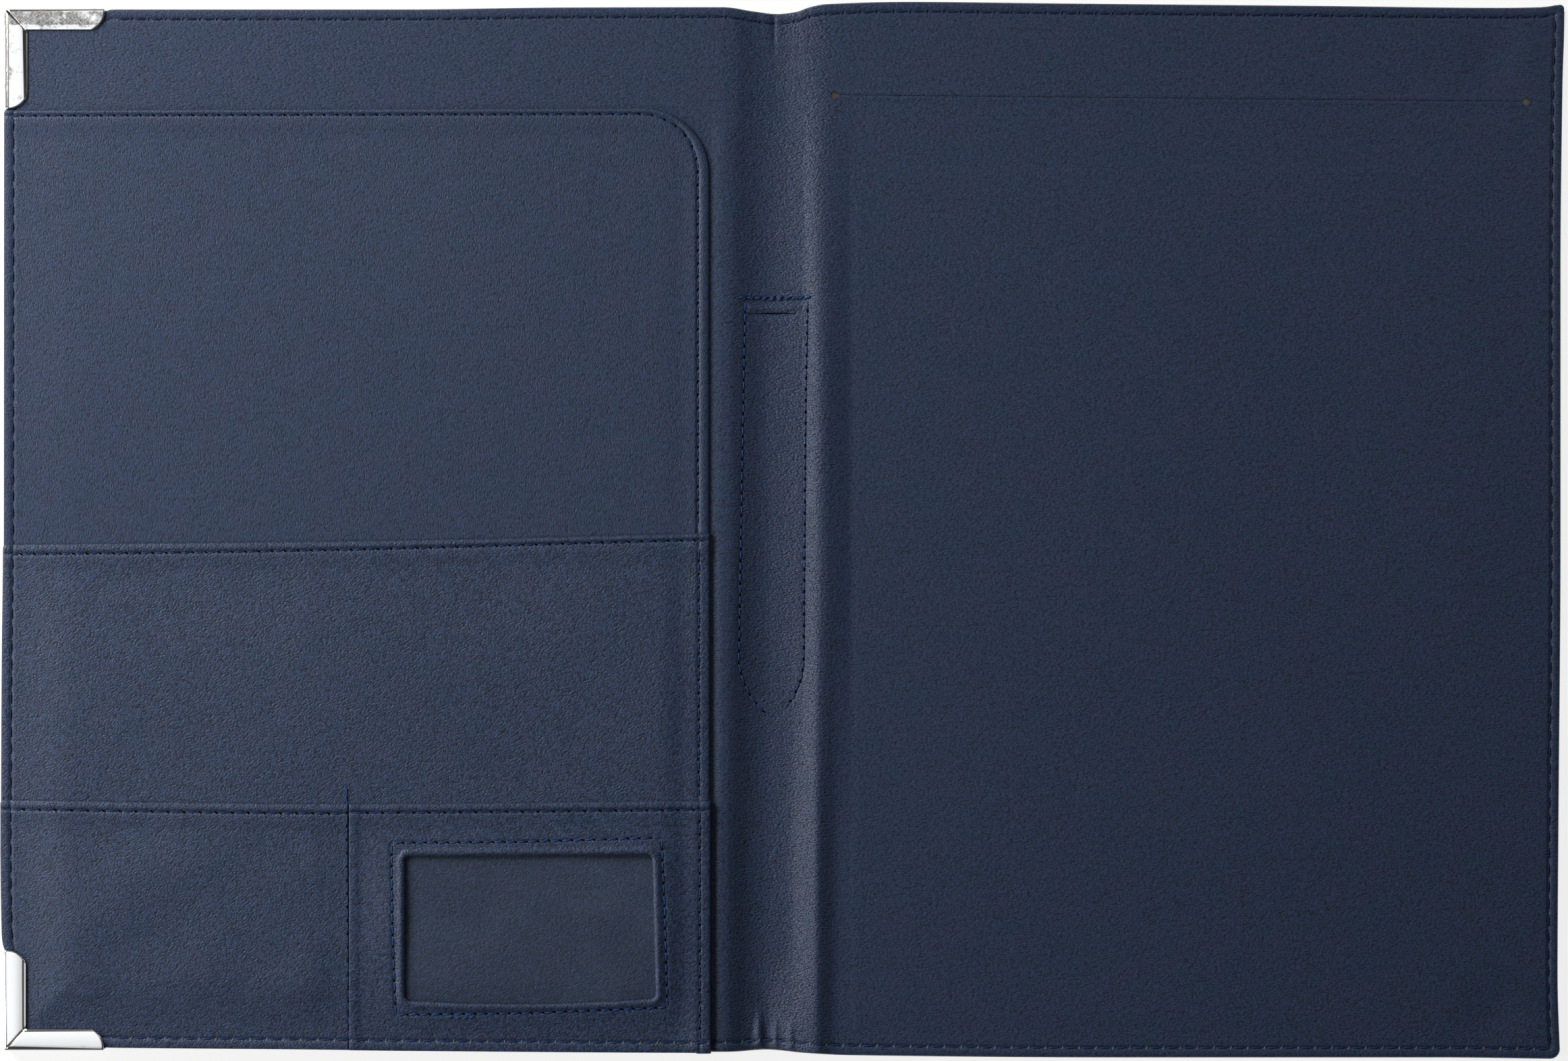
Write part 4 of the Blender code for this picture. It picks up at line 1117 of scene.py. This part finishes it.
def plain_fibre(name, dark, light, scale, roughness, specular=0.5):
    def inputs(n):
        return {
            "Base Color": n.mix(n.noise(scale, 4, 0.7), dark, light),
            "Specular IOR Level": specular,
            "Normal": n.bump(n.noise(scale * 4, 3, 0.7), 0.4, 0.0001),
        }

    return material(name, roughness, inputs)


lining_leather = leather("lining_leather", -10, 2.1, 2600, 0.00011, 0.22)
large_leather = leather("large_leather", 100, 1.9, 2500, 0.0001, 0.22)
pocket_leather = leather("pocket_leather", 28, 1.6, 2200, 0.00014, 0.42)
card_leather = leather("card_leather", 0, 1.6, 2200, 0.00014, 0.5)
outer_leather = leather("outer_leather", 15, 1.5, 1800)
navy_thread = thread_material("navy_thread", (0.002, 0.005, 0.022), (0.005, 0.012, 0.042))
blue_thread = thread_material("blue_thread", (0.004, 0.014, 0.055), (0.011, 0.034, 0.11))
bright_thread = thread_material("bright_thread", (0.005, 0.024, 0.09), (0.014, 0.055, 0.18))
# Painted shade: near-black marks that stand for the shade inside the needle holes
hole_shade = plain_fibre("hole_shade", (0.001, 0.0015, 0.003), (0.003, 0.004, 0.008), 900, 1.0, 0.0)
# Painted highlight: a paler leather colour on the needle holes' raised lips, standing for the glint of
# light they catch
tick_highlight = plain_fibre("tick_highlight", (0.045, 0.06, 0.095), (0.08, 0.1, 0.14), 900, 0.4)
foam = plain_fibre("foam", (0.24, 0.24, 0.25), (0.38, 0.38, 0.39), 900, 0.95)
board = plain_fibre("board", (0.8, 0.66, 0.52), (0.92, 0.8, 0.66), 500, 0.9)
card = plain_fibre("card", (0.55, 0.5, 0.4), (0.75, 0.71, 0.62), 700, 0.85)

# The folder's pieces

for node, finish in (
    ("back_padding", foam), ("spine_padding", foam), ("front_padding", foam),
    ("back_board", board), ("front_board", board), ("pad_slit_card", card),
):
    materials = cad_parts[node].data.materials
    materials.clear()
    materials.append(finish)

lining_front = make_lining_front()
lining_back = make_lining_back()
skin_front = make_skin("skin_front", FRONT_SIDE, FRONT_ENDS, left_edge, True)
skin_back = make_skin("skin_back", BACK_SIDE, BACK_ENDS, right_edge, False)
backing = make_backing()
pocket_large = make_large_pocket()
pocket_middle = make_middle_pocket()
pocket_lower_left = make_lower_left_pocket()
pocket_card = make_card_pocket()
film = make_film()
top_clip = make_clip(
    "clip_top", 158.4, 1, 7.2, 0.5,
    leg_x=dict(width=6.4, crease=(5.0, 5.1), plate=(1.15, 0.5), drop=0.13, lip=EVEN_LIP),
    leg_y=dict(width=6.95, crease=(5.35, 5.95), plate=(1.5, 1.6), drop=0.42, lip=LATE_LIP),
)
bottom_clip = make_clip(
    "clip_bottom", -157.4, -1, 9.6, 0.16,
    leg_x=dict(width=6.6, crease=(5.9, 6.1), plate=(1.7, 0.7), drop=0.4, lip=EVEN_LIP),
    leg_y=dict(width=6.75, crease=(5.6, 5.6), plate=(1.2, 0.5), drop=0.45, lip=STEPPED_LIP),
)

front_top = surface_of(lining_front, pocket_large, pocket_middle, pocket_lower_left, pocket_card)
back_top = surface_of(lining_back)
# Each cover's ends' and side's stretches that are sewn, its side, and which way is inwards there
front_rim_seam = ((-202.5, SPLIT_X), (-124.5, 125.5), left_edge, 1)
back_rim_seam = ((SPLIT_X, 233.1), (-156.4, 155.6), right_edge, -1)
inner_seam = RIM_SEAM + LINING_SETBACK
across_fold = {"front": [lining_front, skin_front], "back": [lining_back, skin_back]}
for name, trees, seam, side_by, seed in (
    ("front", front_top, front_rim_seam, inner_seam - 0.2, 1),
    ("back", back_top, back_rim_seam, inner_seam, 2),
):
    top, side, bottom = rim_seams(*seam, inner_seam, side_by)
    sewn = dict(gap=0.7, slant=0.16, seed=seed + 8)
    across_fold[name] += [
        stitches(f"{name}_rim_thread", [top, side], trees, navy_thread, RIM_PITCH, seed=seed),
        stitches(f"{name}_bottom_thread", [bottom], trees, blue_thread, RIM_PITCH, **sewn),
        needle_holes(f"{name}_rim_holes", [top], trees, RIM_PITCH, 1.3, 0.4, TICK_TILT),
        # The bottom seam's needle holes are drawn up into lips that carry a painted highlight
        needle_holes(
            f"{name}_rim_ticks", [bottom], trees, RIM_PITCH, 1.3, 0.42, TICK_TILT, tick_highlight, 0.16
        ),
    ]
for name, skin, seam, seed in (
    ("front", skin_front, front_rim_seam, 3),
    ("back", skin_back, back_rim_seam, 4),
):
    paths = rim_seams(*seam, RIM_SEAM, RIM_SEAM)
    sewn = dict(from_below=True, lift=0.04, seed=seed)
    outer = stitches(f"outer_{name}_thread", paths, surface_of(skin), navy_thread, RIM_PITCH, **sewn)
    across_fold[name].append(outer)

hem_paths = [
    large_hem_path(),
    edge_path(-234.8, -22.7, lambda x: along(MIDDLE_TOP, x) - middle_seam(x)),
    [(MIDDLE_RIGHT - SIDE_SEAM, -5.0), (MIDDLE_RIGHT - SIDE_SEAM, -81.0)],
    [(CARD_RIGHT - SIDE_SEAM, -84.0), (CARD_RIGHT - SIDE_SEAM, -154.5)],
    [(SEAM_X - 0.6, -77.0), (SEAM_X - 0.3, -120), (SEAM_X, -154.5)],
]
lower_paths = [
    edge_path(-234.8, SEAM_X - 1.2, lambda x: along(LOWER_TOP, x) - LOWER_LEFT_SEAM),
    edge_path(SEAM_X + 0.8, -22.4, lambda x: along(LOWER_TOP, x) - CARD_SEAM),
]
tack_paths = [
    [(-132.5, -76.9), (-132.0, -82.6)], [(-131.9, -77.4), (-132.5, -82.2)],
    [(-101.4, -146.9), (-97.0, -147.5), (-93.0, -146.9)], [(-53.5, -145.4), (-50.5, -145.7)],
]
window_paths = [WINDOW_SEAM[start : start + 3] for start in (0, 2, 4, 6)]
card_top = surface_of(pocket_card)
sewn = dict(radius=0.17, gap=0.9, slant=0.12)
on_front = [
    stitches("hem_thread", hem_paths, front_top, blue_thread, HEM_PITCH, **sewn, seed=5),
    needle_holes("hem_holes", hem_paths, front_top, HEM_PITCH, 1.3, 0.65, HOLE_TILT),
    stitches("lower_hem_thread", lower_paths, front_top, blue_thread, LOWER_PITCH, **sewn, seed=12),
    needle_holes("lower_hem_holes", lower_paths, front_top, LOWER_PITCH, 1.3, 0.7, HOLE_TILT),
    stitches(
        "tack_thread", tack_paths, front_top, bright_thread, TACK_PITCH,
        radius=0.19, gap=0.2, slant=0.25, seed=11, lift=0.2,
    ),
    stitches(
        "window_thread", window_paths, card_top, bright_thread, WINDOW_PITCH, gap=0.5, slant=0.14, seed=6
    ),
    needle_holes("window_holes", window_paths, card_top, WINDOW_PITCH, 1.2, 0.65, HOLE_TILT),
]
# The pen pocket's side seams, and the three rows of the tack across its top
tack_ends = ((-13.5, 71.1), (8.7, 71.0)), ((-12.4, 70.4), (8.2, 70.5)), ((-12.9, 70.9), (8.9, 70.9))
tack_middles = [(SPLIT_X, y) for y in (70.2, 71.0, 70.6)]
front_tack = [[left, middle] for (left, right), middle in zip(tack_ends, tack_middles)]
back_tack = [[middle, right] for (left, right), middle in zip(tack_ends, tack_middles)]
for name, lining, path, thread, hole, tack, seed in (
    ("front", lining_front, PEN_LEFT, bright_thread, (1.3, 0.6), front_tack, 7),
    ("back", lining_back, PEN_RIGHT[:-1], blue_thread, (1.6, 0.8), back_tack, 8),
):
    trees = surface_of(lining)
    side_style = dict(radius=0.18, gap=0.5, slant=0.06, seed=seed)
    tack_style = dict(radius=0.29, gap=0.3, slant=0.3, seed=seed, lift=0.25)
    across_fold[name] += [
        stitches(f"pen_{name}_thread", [path], trees, thread, PEN_PITCH, **side_style),
        needle_holes(f"pen_{name}_holes", [path], trees, PEN_PITCH, *hole, 0),
        stitches(f"pen_{name}_tack", tack, trees, blue_thread, TACK_PITCH, **tack_style),
    ]

# Each sheet's flat size and area as sewn, in metres, without what is turned under at its hems
for piece, nodes, slot, finish, flat, area, held, under in (
    (
        lining_front, ("front_lining", "spine_lining"), "lining_leather", lining_leather,
        (0.2348, 0.3164), 0.0742, "stretched", ["front_board", "spine_padding"],
    ),
    (
        lining_back, ("back_lining", "spine_lining"), "lining_leather", lining_leather,
        (0.2389, 0.3201), 0.0764, "stretched", ["back_board", "pad_slit_card"],
    ),
    (
        skin_front, ("front_outer_cover", "spine_outer_cover"), "outer_leather", outer_leather,
        (0.2418, 0.3305), 0.0787, "folded", ["front_padding", "front_board", "spine_padding"],
    ),
    (
        skin_back, ("back_outer_cover", "spine_outer_cover"), "outer_leather", outer_leather,
        (0.246, 0.3342), 0.0809, "folded", ["back_padding", "back_board", "spine_padding"],
    ),
    (
        backing, ("pen_pocket_backing",), "lining_leather", lining_leather,
        (0.0196, 0.125), 0.00225, "stretched", [lining_front, lining_back],
    ),
    (
        pocket_large, ("large_pocket",), "pocket_leather", large_leather,
        (0.2145, 0.286), 0.061, "laid", [lining_front],
    ),
    (
        pocket_middle, ("middle_pocket",), "pocket_leather", pocket_leather,
        (0.2149, 0.1572), 0.0333, "laid", [pocket_large],
    ),
    (
        pocket_lower_left, ("lower_left_pocket",), "pocket_leather", pocket_leather,
        (0.1055, 0.0758), 0.0079, "laid", [pocket_middle],
    ),
    (
        pocket_card, ("card_pocket",), "pocket_leather", card_leather,
        (0.1097, 0.0766), 0.0052, "laid", [pocket_middle],
    ),
    (
        film, ("window_film",), "clear_film", film_material(),
        (0.0822, 0.0508), 0.00415, "laid", [pocket_middle],
    ),
):
    piece.data.materials.append(finish)
    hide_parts(*nodes)
    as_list(under)
for piece, node, finish in (
    (top_clip, "top_corner_clip", nickel("worn_metal", 1.0)),
    (bottom_clip, "bottom_corner_clip", nickel("bright_metal", 0.15)),
):
    piece.data.materials.append(finish)
    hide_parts(node)

on_front += [pocket_large, pocket_middle, pocket_lower_left, pocket_card, film, top_clip, bottom_clip]
for piece in on_front:
    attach(piece, "front_cover")
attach(backing, "spine")
for pieces, first, second, fold_x in (
    (across_fold["front"], "front_cover", "spine", FRONT_FOLD_X),
    (across_fold["back"], "spine", "back_cover", BACK_FOLD_X),
):
    for piece in pieces:
        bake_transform(piece)

# Floor, light and camera

WARM_WHITE = (1.0, 0.98, 0.94)
FLOOR_HALF = 6.0
SEEN_WIDTH = 0.4753


def backdrop_rays(n, rays):
    """1 for the rays that show the white background: from the camera, off metal and through film."""
    off_metal = n.math("MAXIMUM", rays["Is Camera Ray"], rays["Is Glossy Ray"])
    return n.math("MAXIMUM", off_metal, rays["Is Transmission Ray"])


def make_floor():
    mesh = bpy.data.meshes.new("floor")
    corners = [(x * FLOOR_HALF, y * FLOOR_HALF, 0) for x, y in ((-1, -1), (1, -1), (1, 1), (-1, 1))]
    mesh.from_pydata(corners, [], [(0, 1, 2, 3)])
    floor = bpy.data.objects.new("floor", mesh)
    floor.location.z = -0.0002
    bpy.context.scene.collection.objects.link(floor)
    plain = bpy.data.materials.new("floor")
    n = Nodes(plain, "Object")
    shader = n.tree.nodes["Principled BSDF"]
    n.fill(shader, {"Base Color": (0.86, 0.86, 0.86, 1), "Roughness": 1})
    light = n.add("ShaderNodeEmission", {"Strength": 1})
    rays = n.add("ShaderNodeLightPath").outputs
    n.backdrop(n.math("MULTIPLY", backdrop_rays(n, rays), 0.82), shader, light, "Material Output")
    mesh.materials.append(plain)


def make_world():
    world = bpy.data.worlds.new("studio")
    bpy.context.scene.world = world
    n = Nodes(world, "Generated")
    x, y, z = n.axes()
    # A white panel overhead on the upper left, dim walls, and bright surroundings low down
    edge = n.math("SUBTRACT", n.span(x, -1, 1, -1, 1), n.span(y, -1, 1, -0.5, 0.5))
    panel = n.math("MULTIPLY", n.span(z, 0.93, 0.965, 0, 1), n.span(edge, 0.1, -0.08, 0, 1.18))
    low = n.math("MULTIPLY", n.span(z, 0.45, 0.2, 0.08, 0.42), n.span(edge, -0.8, 0.8, 1.0, 0.35))
    background = n.tree.nodes["Background"]
    n.fill(background, {"Color": (0.93, 0.96, 1.0, 1), "Strength": n.math("ADD", panel, low)})
    white = n.add("ShaderNodeBackground", {"Strength": 1})
    # Metal shows the white background near the horizon and the lit studio higher up
    rays = n.add("ShaderNodeLightPath").outputs
    horizon = n.math("MAXIMUM", rays["Is Camera Ray"], n.span(z, 0.2, 0.1, 0, 1))
    n.backdrop(n.math("MULTIPLY", backdrop_rays(n, rays), horizon), background, white, "World Output")


def area_light(name, place, target, size, power):
    data = bpy.data.lights.new(name, "AREA")
    data.size = size
    data.energy = power
    data.color = WARM_WHITE
    light = bpy.data.objects.new(name, data)
    light.location = place
    light.rotation_euler = (Vector(target) - Vector(place)).to_track_quat("-Z", "Y").to_euler()
    bpy.context.scene.collection.objects.link(light)


def make_camera():
    data = bpy.data.cameras.new("camera")
    data.lens = 150
    data.sensor_width = 36
    data.clip_start, data.clip_end = 0.1, 20
    camera = bpy.data.objects.new("camera", data)
    camera.location = (0.0004, 0.00015, 0.007 + SEEN_WIDTH * data.lens / data.sensor_width)
    bpy.context.scene.collection.objects.link(camera)
    bpy.context.scene.camera = camera


make_floor()
make_world()
make_camera()
area_light("key", (-0.72, 0.49, 0.47), (-0.03, 0.0, 0), 0.5, 17.0)
area_light("low", (-0.8, -0.3, 0.42), (-0.15, -0.1, 0), 0.35, 4.5)
area_light("right", (0.5, 0.42, 0.26), (0.22, 0.08, 0), 0.25, 0.55)

bpy.context.scene.view_settings.view_transform = "Standard"
